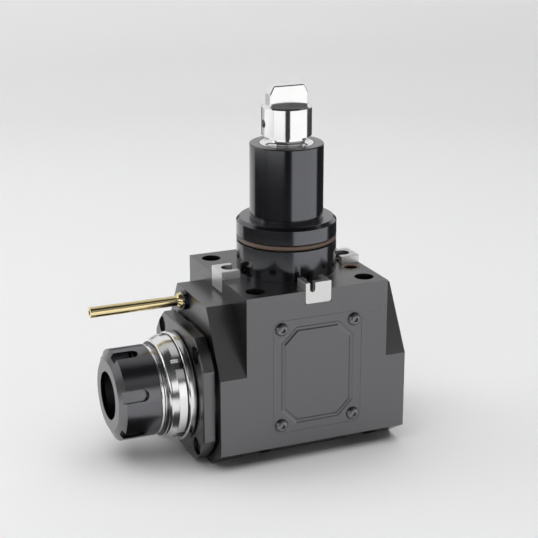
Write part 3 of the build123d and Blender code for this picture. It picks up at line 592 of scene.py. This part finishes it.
class MachinedBlock(bpy.types.Operator):
    """Ease the edges of the block and of the front flange"""

    bl_idname = "holder.machined_block"
    bl_label = "Machined block"

    def execute(self, context):
        sizes = context.scene.holder_sizes
        finish_mesh("block", eased("housing", sizes.edge_round), "housing", "ground_steel", "housing")
        finish_mesh("front_flange", eased("flange_plate", sizes.edge_round), "housing", "ground_steel",
                    "flange_plate")
        return {"FINISHED"}


class SideCovers(bpy.types.Operator):
    """Slope the walls of the side covers' channels and ease their edges"""

    bl_idname = "holder.side_covers"
    bl_label = "Side covers"

    channel_half_width: bpy.props.FloatProperty(
        name="Channel half width", description="In millimetres", default=21.4)
    channel_half_height: bpy.props.FloatProperty(
        name="Channel half height", description="In millimetres", default=27.9)
    channel_width: bpy.props.FloatProperty(name="Channel width", description="In millimetres", default=2.8)
    channel_depth: bpy.props.FloatProperty(name="Channel depth", description="In millimetres", default=1.2)
    channel_rise: bpy.props.FloatProperty(
        name="Channel rise", description="Lift of the channel's floor in millimetres", default=0.65)
    wall_slope: bpy.props.FloatProperty(name="Wall slope", description="In millimetres", default=0.85)

    def execute(self, context):
        width = context.scene.holder_sizes.fine_round
        for side in ("front", "rear"):
            node = side + "_cover"
            bm = merged(node)
            self.slope_walls(bm, node)
            finish_mesh(side + "_side_cover", eased(node, width, bm=bm), "housing", "cover_steel", node)
        return {"FINISHED"}

    def slope_walls(self, bm, node):
        """Lift the channel's floor and narrow it from both sides, so that its walls slope."""
        near = 0.01
        face = max(map(abs, span(node, Y)))
        centre = middle(node, Z) * MM
        half_x, half_z = self.channel_half_width * MM, self.channel_half_height * MM
        inner_x, inner_z = half_x - self.channel_width * MM, half_z - self.channel_width * MM
        slope = self.wall_slope * MM
        for vert in bm.verts:
            reach = max(abs(vert.co.x) / half_x, abs(vert.co.z - centre) / half_z)
            if reach > 1 + near or abs(abs(vert.co.y) / MM - face + self.channel_depth) > near:
                continue
            if reach > 1 - near:
                grow_x, grow_z = 1 - slope / half_x, 1 - slope / half_z
            else:
                grow_x, grow_z = 1 + slope / inner_x, 1 + slope / inner_z
            vert.co.x *= grow_x
            vert.co.y *= 1 + self.channel_rise * MM / abs(vert.co.y)
            vert.co.z = centre + (vert.co.z - centre) * grow_z


class LocationKeys(bpy.types.Operator):
    """Ease the edges of the four location keys"""

    bl_idname = "holder.location_keys"
    bl_label = "Location keys"

    def execute(self, context):
        width = context.scene.holder_sizes.fine_round
        for side in ("front", "rear", "left", "right"):
            finish_mesh(side + "_location_key", eased("key_" + side, width), "housing", "key_steel",
                        "key_" + side)
        return {"FINISHED"}


class HolderScrews(bpy.types.Operator):
    """Ease the edges of the screws of keys, covers and flange"""

    bl_idname = "holder.holder_screws"
    bl_label = "Screws"

    def execute(self, context):
        width = context.scene.holder_sizes.fine_round
        # The cover screws take the paler copy of the steel that paints light on end faces
        for node, finish in (("key_screws", "dark_steel"), ("flange_screws", "dark_steel"),
                             ("front_cover_screws", "nut_face"), ("rear_cover_screws", "nut_face")):
            finish_mesh("fine_" + node, eased(node, width), "housing", finish, node)
        return {"FINISHED"}


class CentringSleeve(bpy.types.Operator):
    """Turn the centring spigot with its groove and shank"""

    bl_idname = "holder.centring_sleeve"
    bl_label = "Centring sleeve"

    spigot_radius: bpy.props.FloatProperty(name="Spigot radius", description="In millimetres", default=27.5)
    spigot_height: bpy.props.FloatProperty(name="Spigot height", description="In millimetres", default=30.0)
    spigot_bevel: bpy.props.FloatProperty(name="Spigot bevel", description="In millimetres", default=1.8)
    shank_radius: bpy.props.FloatProperty(name="Shank radius", description="In millimetres", default=20.15)
    relief_height: bpy.props.FloatProperty(name="Relief height", description="In millimetres", default=1.8)
    relief_depth: bpy.props.FloatProperty(name="Relief depth", description="In millimetres", default=0.7)
    groove_width: bpy.props.FloatProperty(name="Groove width", description="In millimetres", default=3.6)

    def execute(self, context):
        low, top = span("drive_sleeve", Z)
        foot_r = span("drive_sleeve", X)[1]
        ring_low, ring_high = span("spigot_o_ring", Z)
        groove = (ring_low + ring_high) / 2
        half = self.groove_width / 2
        groove_r = self.spigot_radius - (ring_high - ring_low)
        spigot_r, shank_r = self.spigot_radius, self.shank_radius
        relief_r = shank_r - self.relief_depth
        relief_top = self.spigot_height + self.relief_height
        bore_r, end_bevel = 15.0, 0.5
        outline = [
            (bore_r, low), (foot_r, low), (foot_r, 0), (spigot_r, 0), (spigot_r, groove - half),
            (groove_r, groove - half), (groove_r, groove + half), (spigot_r, groove + half),
            (spigot_r, self.spigot_height - self.spigot_bevel),
            (spigot_r - self.spigot_bevel, self.spigot_height), (relief_r, self.spigot_height),
            (relief_r, relief_top), (shank_r, relief_top), (shank_r, top - end_bevel),
            (shank_r - end_bevel, top), (bore_r, top)]
        mesh = turned_mesh(outline, context.scene.holder_sizes.fine_round)
        # The spigot's and shank's end faces take a paler copy of the steel: painted light
        finish_mesh("spigot_and_shank", mesh, "housing", "black_oxide", "drive_sleeve", ends="black_face")
        return {"FINISHED"}


class SealingRings(bpy.types.Operator):
    """Make the brown rings of the spigot and the coolant port"""

    bl_idname = "holder.sealing_rings"
    bl_label = "Sealing rings"

    def execute(self, context):
        self.make_ring("spigot_ring", "spigot_o_ring", ROUND_STEPS)
        self.make_ring("port_ring", "coolant_o_ring", PORT_STEPS)
        return {"FINISHED"}

    def make_ring(self, name, node, steps):
        """Round ring that fills the box of a CAD ring about Z."""
        left, right = span(node, X)
        low, high = span(node, Z)
        section = (high - low) / 2
        major = (right - left) / 2 - section
        outline = arc(major, 0, section, 0, 2 * pi, steps=20)[1:]
        place = shift((left + right) / 2, middle(node, Y), (low + high) / 2)
        finish_mesh(name, turned_mesh(outline, 0, place, steps), "housing", "seal_brown", node)


class DriveCoupling(bpy.types.Operator):
    """Turn the coupling's dish and neck, and mill its driving tongue and cross hole"""

    bl_idname = "holder.drive_coupling"
    bl_label = "Drive coupling"

    pin_radius: bpy.props.FloatProperty(name="Pin radius", description="In millimetres", default=2.25)
    disc_height: bpy.props.FloatProperty(name="Disc height", description="In millimetres", default=3.0)
    neck_radius: bpy.props.FloatProperty(name="Neck radius", description="In millimetres", default=10.5)
    neck_height: bpy.props.FloatProperty(name="Neck height", description="In millimetres", default=4.4)
    body_radius: bpy.props.FloatProperty(name="Body radius", description="In millimetres", default=13.57)
    body_height: bpy.props.FloatProperty(name="Body height", description="In millimetres", default=16.05)
    tongue_length: bpy.props.FloatProperty(name="Tongue length", description="In millimetres", default=22.2)
    tongue_width: bpy.props.FloatProperty(name="Tongue width", description="In millimetres", default=7.0)

    def execute(self, context):
        low, top = span("drive_coupling", Z)
        disc_top = low + self.disc_height
        body_low = disc_top + self.neck_height
        body_top = body_low + self.body_height
        fine = context.scene.holder_sizes.fine_round
        pin_recess = 1.4
        self.make_body(low, disc_top, body_low, body_top, fine)
        self.make_tongue(body_top, top)
        pin = self.cross_drum(self.body_radius - pin_recess)
        finish_mesh("cross_pin", carved(pin, [], fine), "drive", "plain_steel", "coupling_pin")
        return {"FINISHED"}

    def cross_drum(self, half):
        """Cylinder across the body at the pin's height."""
        place = shift(0, 0, middle("coupling_pin", Z)) @ turn(90, "Y")
        return moved(drum(self.pin_radius, -half, half), place)

    def make_body(self, low, disc_top, body_low, body_top, fine):
        """Dished disc, neck and body, with the cross hole."""
        disc_r = span("drive_coupling", X)[1]
        neck_r, body_r = self.neck_radius, self.body_radius
        bore_r, end_wall, bevel, rim, dish_share, past = 8.5, 7.25, 0.8, 0.6, 0.6, 1.0
        reach, rise = disc_r - rim - neck_r, dish_share * self.neck_height
        dish = [(disc_r - rim - reach * across, disc_top + rise * (1 - up))
                for across, up in arc(0, 0, 1, 0, pi / 2, steps=12)]
        bore_top = body_top - end_wall
        outline = [(bore_r, low), (disc_r, low), (disc_r, disc_top)] + dish + [
            (neck_r, body_low), (body_r, body_low), (body_r, body_top - bevel), (body_r - bevel, body_top),
            (0, body_top), (0, bore_top), (bore_r, bore_top)]
        mesh = carved(lathe(outline), [self.cross_drum(body_r + past)], fine)
        finish_mesh("coupling_body", mesh, "drive", "bright_steel", "drive_coupling")

    def make_tongue(self, low, top):
        """Flat tongue with bevelled ends and edges."""
        slant, drop, sink, bevel = 2.2, 4.4, 0.5, 0.5
        half, width = self.tongue_length / 2, self.tongue_width / 2
        points = [(-half, low - sink), (half, low - sink), (half, top - drop), (half - slant, top),
                  (slant - half, top), (-half, top - drop)]
        blade = moved(extruded(points, -width, width), turn(90, "X"))
        finish_mesh("driving_tongue", carved(blade, [], bevel, steps=1), "drive", "bright_steel",
                    "drive_coupling")


class NoseRings(bpy.types.Operator):
    """Turn the polished rings on the spindle's nose"""

    bl_idname = "holder.nose_rings"
    bl_label = "Nose rings"

    notches: bpy.props.IntProperty(name="Notches", description="Spanner notches round the ring", default=4)
    notch_width: bpy.props.FloatProperty(name="Notch width", description="In millimetres", default=6.0)
    notch_depth: bpy.props.FloatProperty(name="Notch depth", description="In millimetres", default=2.5)
    # Rise and width of the thin dark ring that paints shade at the notched ring's back
    shade_ring_rise: bpy.props.FloatProperty(name="Seam rise", description="In millimetres", default=0.12)
    shade_ring_width: bpy.props.FloatProperty(name="Seam width", description="In millimetres", default=0.4)

    def execute(self, context):
        fine = context.scene.holder_sizes.fine_round
        self.make_front_ring()
        self.make_spanner_ring(fine)
        self.make_nut_ring()
        return {"FINISHED"}

    def make_front_ring(self):
        """Rounded ring in front of the flange."""
        front, back = [-x for x in span("front_ring", X)]
        outer = span("front_ring", Y)[1]
        round_r = 1.2
        corner = arc(outer - round_r, front - round_r, round_r, 0, pi / 2, steps=8)
        foot = [(r, back + front - h) for r, h in reversed(corner)]
        outline = [(NOSE_RADIUS, front)] + corner + foot + [(NOSE_RADIUS, back)]
        finish_mesh("rounded_ring", turned_mesh(outline, 0, TO_SPINDLE), "spindle", "ring_steel",
                    "front_ring")

    def make_spanner_ring(self, fine):
        """Notched ring with its flare, and a thin dark ring of painted shade at its back."""
        front, back = [-x for x in span("spanner_ring", X)]
        step_in, disc_width, crown_drop, bevel, past = 1.1, 5.0, 1.2, 0.2, 1.0
        crown_r, round_r, collar_r = 27.6, 2.0, 23.8
        outer = span("front_ring", Y)[1] - step_in
        disc, crown = back + disc_width, front - crown_drop
        corner = arc(crown_r - round_r, crown - round_r, round_r, pi / 2, 0, steps=8)
        outline = [(NOSE_RADIUS, back), (outer, back), (outer, disc - bevel), (outer - bevel, disc)]
        outline += corner + [(collar_r, crown), (collar_r, front), (NOSE_RADIUS, front)]
        half = self.notch_width / 2
        notch = ((outer - self.notch_depth, outer + 2 * past), (-half, half), (back - past, disc + past))
        cutters = [moved(block(*notch), turn(360 / self.notches * (i + 0.5)))
                   for i in range(self.notches)]
        # Its faces square to the spindle take a darker copy of the steel: painted shade
        finish_mesh("notched_ring", carved(lathe(outline), cutters, fine, TO_SPINDLE), "spindle",
                    "ring_steel", "spanner_ring", ends="ring_ledge", axis=X, square=0.98)
        # Thin dark ring of painted shade at the back of the notched ring
        shade_ring_radius, shade_ring_top = outer + self.shade_ring_rise, back + self.shade_ring_width
        shade_ring_outline = [(NOSE_RADIUS, back), (shade_ring_radius, back), (shade_ring_radius, shade_ring_top), (NOSE_RADIUS, shade_ring_top)]
        finish_mesh("painted_shade_ring", turned_mesh(shade_ring_outline, 0, TO_SPINDLE), "spindle", "ring_ledge",
                    "spanner_ring")

    def make_nut_ring(self):
        """Thin ring behind the nut."""
        front, back = [-x for x in span("nut_ring", X)]
        outer = span("nut_ring", Y)[1]
        round_r = 0.6
        corner = arc(outer - round_r, back + round_r, round_r, pi, pi / 2, steps=6)
        far = [(r, back + front - h) for r, h in reversed(corner)]
        outline = [(THREAD_BORE, back)] + corner + far + [(THREAD_BORE, front)]
        finish_mesh("thin_ring", turned_mesh(outline, 0, TO_SPINDLE), "nut_carrier", "ring_steel",
                    "nut_ring")


class ColletNut(bpy.types.Operator):
    """Turn the clamping nut and mill its spanner slots"""

    bl_idname = "holder.collet_nut"
    bl_label = "Collet nut"

    slots: bpy.props.IntProperty(name="Slots", description="Spanner slots round the nut", default=6)
    slot_width: bpy.props.FloatProperty(name="Slot width", description="In millimetres", default=6.4)
    slot_length: bpy.props.FloatProperty(name="Slot length", description="In millimetres", default=15.6)
    slot_depth: bpy.props.FloatProperty(name="Slot depth", description="In millimetres", default=2.8)
    slot_turn: bpy.props.FloatProperty(
        name="Slot turn", description="Angle of the first slot in degrees", default=-13.5)

    def execute(self, context):
        front, back = [-x for x in span("collet_nut", X)]
        outer, face_r, mouth_r, throat_r = 25.0, 19.2, 13.3, 16.5
        back_bevel, front_bevel, mouth_depth, nose_gap, past = 0.4, 2.94, 2.5, 0.3, 1.0
        nose_end = -span("spindle", X)[0] + nose_gap
        outline = [
            (THREAD_BORE, back), (outer - back_bevel, back), (outer, back + back_bevel),
            (outer, front - front_bevel), (face_r, front), (mouth_r, front),
            (mouth_r, nose_end + mouth_depth), (throat_r, nose_end), (THREAD_BORE, nose_end)]
        half = self.slot_width / 2
        floor = outer - self.slot_depth
        end = front - self.slot_length + half
        cutters = []
        for i in range(self.slots):
            place = turn(360 / self.slots * i + self.slot_turn)
            straight = block((floor, outer + 2 * past), (-half, half), (end, front + past))
            round_end = moved(drum(half, floor, outer + 2 * past), shift(0, 0, end) @ turn(90, "Y"))
            cutters += [moved(straight, place), moved(round_end, place)]
        fine = context.scene.holder_sizes.fine_round
        mesh = carved(lathe(outline, NUT_STEPS), cutters, fine, TO_SPINDLE)
        # The nut's end faces take a paler copy of the steel: painted light
        finish_mesh("clamping_nut", mesh, "collet_nut", "nut_black", "collet_nut", ends="nut_face",
                    axis=X)
        return {"FINISHED"}


class CoolantNozzle(bpy.types.Operator):
    """Turn the nozzle's ball, tube and retaining ring"""

    bl_idname = "holder.coolant_nozzle"
    bl_label = "Coolant nozzle"

    tube_radius: bpy.props.FloatProperty(name="Tube radius", description="In millimetres", default=3.0)
    bore_radius: bpy.props.FloatProperty(name="Bore radius", description="In millimetres", default=1.3)

    def execute(self, context):
        tip, back = [-x for x in span("coolant_nozzle", X)]
        ball_r = span("coolant_nozzle", Y)[1] - NOZZLE_Y
        ball_x = back + sqrt(ball_r ** 2 - self.bore_radius ** 2)
        first, last = pi - self.bore_radius / ball_r, self.tube_radius / ball_r
        ball_gap = 0.05
        outline = arc(0, ball_x, ball_r, first, last, steps=28)
        outline += [(self.tube_radius, tip), (self.bore_radius, tip), (self.bore_radius, outline[0][1])]
        mesh = turned_mesh(outline, context.scene.holder_sizes.fine_round, TO_NOZZLE, SMALL_STEPS)
        finish_mesh("nozzle_tube", mesh, "nozzle", "brass", "coolant_nozzle")
        self.make_ring(ball_r + ball_gap, ball_x)
        return {"FINISHED"}

    def make_ring(self, seat_r, ball_x):
        """Retaining ring round the ball."""
        front, rear = [-x for x in span("nozzle_ring", X)]
        outer = span("nozzle_ring", Y)[1] - NOZZLE_Y
        lip_r = sqrt(seat_r ** 2 - (front - ball_x) ** 2)
        bevel, edge = 0.5, 0.1
        outline = [(seat_r, rear), (outer, rear), (outer, front - bevel), (outer - bevel, front),
                   (lip_r, front), (seat_r, ball_x)]
        mesh = turned_mesh(outline, edge, TO_NOZZLE, SMALL_STEPS)
        # The ring's end faces take a paler copy of the steel: painted light
        finish_mesh("retaining_ring", mesh, "nozzle_socket", "black_oxide", "nozzle_ring",
                    ends="nut_face", axis=X)


class Studio(bpy.types.Operator):
    """Set the floor, the backdrop, the lamps and the camera"""

    bl_idname = "holder.studio"
    bl_label = "Studio"

    lens: bpy.props.FloatProperty(name="Lens", description="Focal length in millimetres", default=96.85)
    lit_reach: bpy.props.FloatProperty(
        name="Lit reach", description="Distance up to which the lamps light the floor", unit="LENGTH",
        default=0.9)
    fade_rate: bpy.props.FloatProperty(
        name="Fade rate", description="Share of the light made up for each metre further", default=0.3)

    def execute(self, context):
        context.scene.view_settings.view_transform = "Standard"
        self.make_floor()
        self.make_world(context)
        self.make_lamps(context)
        self.make_cards(context)
        self.make_camera(context)
        return {"FINISHED"}

    def make_floor(self):
        """Pale floor that curves up into the backdrop."""
        front, wall, sweep, top, half_width = -4.0, 1.2, 0.8, 3.5, 5.0
        profile = [(front, 0.0)] + arc(wall, sweep, sweep, pi, pi / 2, steps=24) + [(wall + sweep, top)]
        bm = bmesh.new()
        verts = [bm.verts.new((-half_width, y, z + STAGE_FLOOR * MM)) for y, z in profile]
        edges = [bm.edges.new(pair) for pair in zip(verts, verts[1:])]
        grown = bmesh.ops.extrude_edge_only(bm, edges=edges)
        side = [item for item in grown["geom"] if isinstance(item, bmesh.types.BMVert)]
        bmesh.ops.translate(bm, verts=side, vec=(2 * half_width, 0, 0))
        bmesh.ops.recalc_face_normals(bm, faces=bm.faces)
        mesh = bpy.data.meshes.new("studio_floor")
        bm.to_mesh(mesh)
        bm.free()
        mesh.shade_smooth()
        floor = bpy.data.objects.new("studio_floor", mesh)
        bpy.context.scene.collection.objects.link(floor)
        mesh.materials.append(self.floor_finish())

    def floor_finish(self):
        """Matt pale paper, which the camera sees as evenly lit where it is far from the lamps."""
        finish = Finish("studio_paper")
        cloud = finish.noise(scale=3.0, detail=2.0, roughness=0.5)
        pale = finish.mix(cloud, (0.79, 0.79, 0.79, 1), (0.81, 0.81, 0.81, 1))
        away = finish.add("ShaderNodeVectorMath", {"operation": "LENGTH"}, {0: finish.coords}).out("Value")
        seen = finish.add("ShaderNodeLightPath", {}, {}).out("Is Camera Ray")
        fade = ((away - self.lit_reach) * self.fade_rate).clamped() * seen
        finish.set(Base_Color=pale, Roughness=0.9, Emission_Strength=1.0,
                   Emission_Color=finish.mix(fade, (0, 0, 0, 1), PALE))
        return finish.material

    def make_world(self, context):
        """Dim light from all round, less of it from straight above, that the camera sees as pale."""
        world = bpy.data.worlds.new("studio_world")
        world.use_nodes = True
        tree = world.node_tree
        coords = tree.nodes.new("ShaderNodeTexCoord")
        split = tree.nodes.new("ShaderNodeSeparateXYZ")
        ramp = tree.nodes.new("ShaderNodeValToRGB")
        low, high = ramp.color_ramp.elements
        low.position, low.color = 0.35, (0.15, 0.152, 0.158, 1)
        high.position, high.color = 0.80, (0.03, 0.031, 0.033, 1)
        tree.links.new(coords.outputs["Generated"], split.inputs[0])
        tree.links.new(split.outputs["Z"], ramp.inputs[0])
        path = tree.nodes.new("ShaderNodeLightPath")
        mix = tree.nodes.new("ShaderNodeMix")
        mix.data_type = "RGBA"
        mix.inputs[MIX_SECOND].default_value = PALE
        tree.links.new(path.outputs["Is Camera Ray"], mix.inputs[MIX_FACTOR])
        tree.links.new(ramp.outputs[0], mix.inputs[MIX_FIRST])
        tree.links.new(mix.outputs[MIX_RESULT], tree.nodes["Background"].inputs["Color"])
        context.scene.world = world

    def make_lamps(self, context):
        """Soft lamp above, which the metal does not mirror, and one on the left."""
        power = context.scene.studio_settings
        above = self.lamp("top_lamp", place=(0.0, 0.0, 1.5), target=(0.0, 0.2, 0), width=2.8, height=2.4,
                          power=power.top_power)
        above.visible_glossy = False
        self.lamp("left_lamp", place=(-1.25, 0.75, 0.55), target=(0, 0, 0), width=0.9, height=0.9,
                  power=power.left_power)

    def make_cards(self, context):
        """White and black cards round the part that only its metal mirrors.

        Each stands between two radii and heights in metres and two azimuths in degrees.
        """
        near, far = 0.36, 1.2
        floor, sleeve_edge, spigot, top, high, crown = STAGE_FLOOR * MM, -0.012, 0.06, 0.10, 0.175, 0.42
        back_top = 1.15
        white, dim, black = context.scene.studio_settings.card_level, 0.5, 0.02
        self.card("back_card", (20, 160), (far, 0.12), (far, back_top), 0.76 * white)
        self.card("canopy_card", (-10, 140), (far, back_top), (0.35, 1.45), dim)
        self.card("low_right_card", (-98, -10), (near, floor), (near, sleeve_edge), white)
        self.card("right_card", (-102, -10), (near, sleeve_edge), (near, top), white)
        self.card("left_card", (-172, -116), (near, sleeve_edge), (near, top), white)
        self.card("left_flag", (132, 262), (near, floor), (near, sleeve_edge), black)
        self.card("centre_flag", (-120, -98), (0.35, sleeve_edge), (0.35, top), black)
        self.card("right_flag", (-10, 60), (0.24, floor), (0.24, top / 2), 2 * black)
        self.card("high_flag", (-100, -26), (near, top), (near, high), black)
        self.card("edge_flag", (60, 97), (near, sleeve_edge), (near, spigot), black)
        self.card("edge_card", (97, 126), (near, sleeve_edge), (near, spigot), dim)
        self.card("dim_card", (-110, -20), (near, high), (near, crown), 0.6 * dim)
        self.card("nose_flag", (183, 215), (0.085, floor + MM), (0.17, floor + MM), black)

    def card(self, name, sweep, first, second, level):
        """Card between two (radius, height) points, swept round the shank between two azimuths."""
        start, end = map(radians, sweep)
        bm = bmesh.new()
        verts = [bm.verts.new((radius * cos(start), radius * sin(start), height))
                 for radius, height in (first, second)]
        edge = bm.edges.new(verts)
        bmesh.ops.spin(bm, geom=verts + [edge], cent=(0, 0, 0), axis=(0, 0, 1), angle=end - start,
                       steps=24)
        mesh = bpy.data.meshes.new(name)
        bm.to_mesh(mesh)
        bm.free()
        finish = Finish(name, Base_Color=(0, 0, 0, 1), Roughness=1.0, Emission_Strength=1.0,
                        Emission_Color=(level, level, level, 1))
        mesh.materials.append(finish.material)
        card = bpy.data.objects.new(name, mesh)
        bpy.context.scene.collection.objects.link(card)
        card.visible_camera = card.visible_shadow = card.visible_diffuse = False

    def lamp(self, name, place, target, width, height, power):
        """One rectangular lamp aimed at a point."""
        light = bpy.data.lights.new(name, "AREA")
        light.shape = "RECTANGLE"
        light.size, light.size_y = width, height
        light.energy = power
        lamp = bpy.data.objects.new(name, light)
        bpy.context.scene.collection.objects.link(lamp)
        lamp.location = place
        lamp.rotation_euler = (Vector(place) - Vector(target)).to_track_quat("Z", "Y").to_euler()
        return lamp

    def make_camera(self, context):
        """Camera at the photograph's viewpoint."""
        camera = bpy.data.objects.new("camera", bpy.data.cameras.new("camera"))
        context.scene.collection.objects.link(camera)
        camera.data.lens = self.lens
        camera.data.sensor_width = 36.0
        camera.data.clip_start = 0.05
        level = cos(CAMERA_LIFT)
        back = Vector((sin(CAMERA_TURN) * level, -cos(CAMERA_TURN) * level, sin(CAMERA_LIFT)))
        right = Vector((cos(CAMERA_TURN), sin(CAMERA_TURN), 0))
        up = back.cross(right)
        axes = Matrix((right, up, back)).transposed().to_4x4()
        camera.matrix_world = Matrix.Translation(CAMERA_PLACE) @ axes
        context.scene.camera = camera


class HolderPanel(bpy.types.Panel):
    """Lists the holder's pieces in the sidebar"""

    bl_idname = "VIEW3D_PT_live_tool_holder"
    bl_label = "Live tool holder"
    bl_space_type = "VIEW_3D"
    bl_region_type = "UI"
    bl_category = "Tool holder"

    def draw(self, context):
        for operator in OPERATORS:
            self.layout.operator(operator.bl_idname)
        for group in ("holder_finishes", "holder_sizes", "studio_settings"):
            settings = getattr(context.scene, group)
            for name in settings.bl_rna.properties.keys():
                if name not in ("rna_type", "name"):
                    self.layout.prop(settings, name)


GROUPS = (HolderFinishes, HolderSizes, StudioSettings)
OPERATORS = (FinishCadPieces, MachinedBlock, SideCovers, LocationKeys, HolderScrews, CentringSleeve,
             SealingRings, DriveCoupling, NoseRings, ColletNut, CoolantNozzle, Studio)


def register():
    for cls in GROUPS + OPERATORS + (HolderPanel,):
        bpy.utils.register_class(cls)
    bpy.types.Scene.holder_finishes = bpy.props.PointerProperty(type=HolderFinishes)
    bpy.types.Scene.holder_sizes = bpy.props.PointerProperty(type=HolderSizes)
    bpy.types.Scene.studio_settings = bpy.props.PointerProperty(type=StudioSettings)


def unregister():
    for group in ("holder_finishes", "holder_sizes", "studio_settings"):
        delattr(bpy.types.Scene, group)
    for cls in reversed(GROUPS + OPERATORS + (HolderPanel,)):
        bpy.utils.unregister_class(cls)


def main():
    """Register the classes and make every piece."""
    register()
    for operator in OPERATORS:
        group, name = operator.bl_idname.split(".")
        getattr(getattr(bpy.ops, group), name)()


if __name__ == "__main__":
    main()
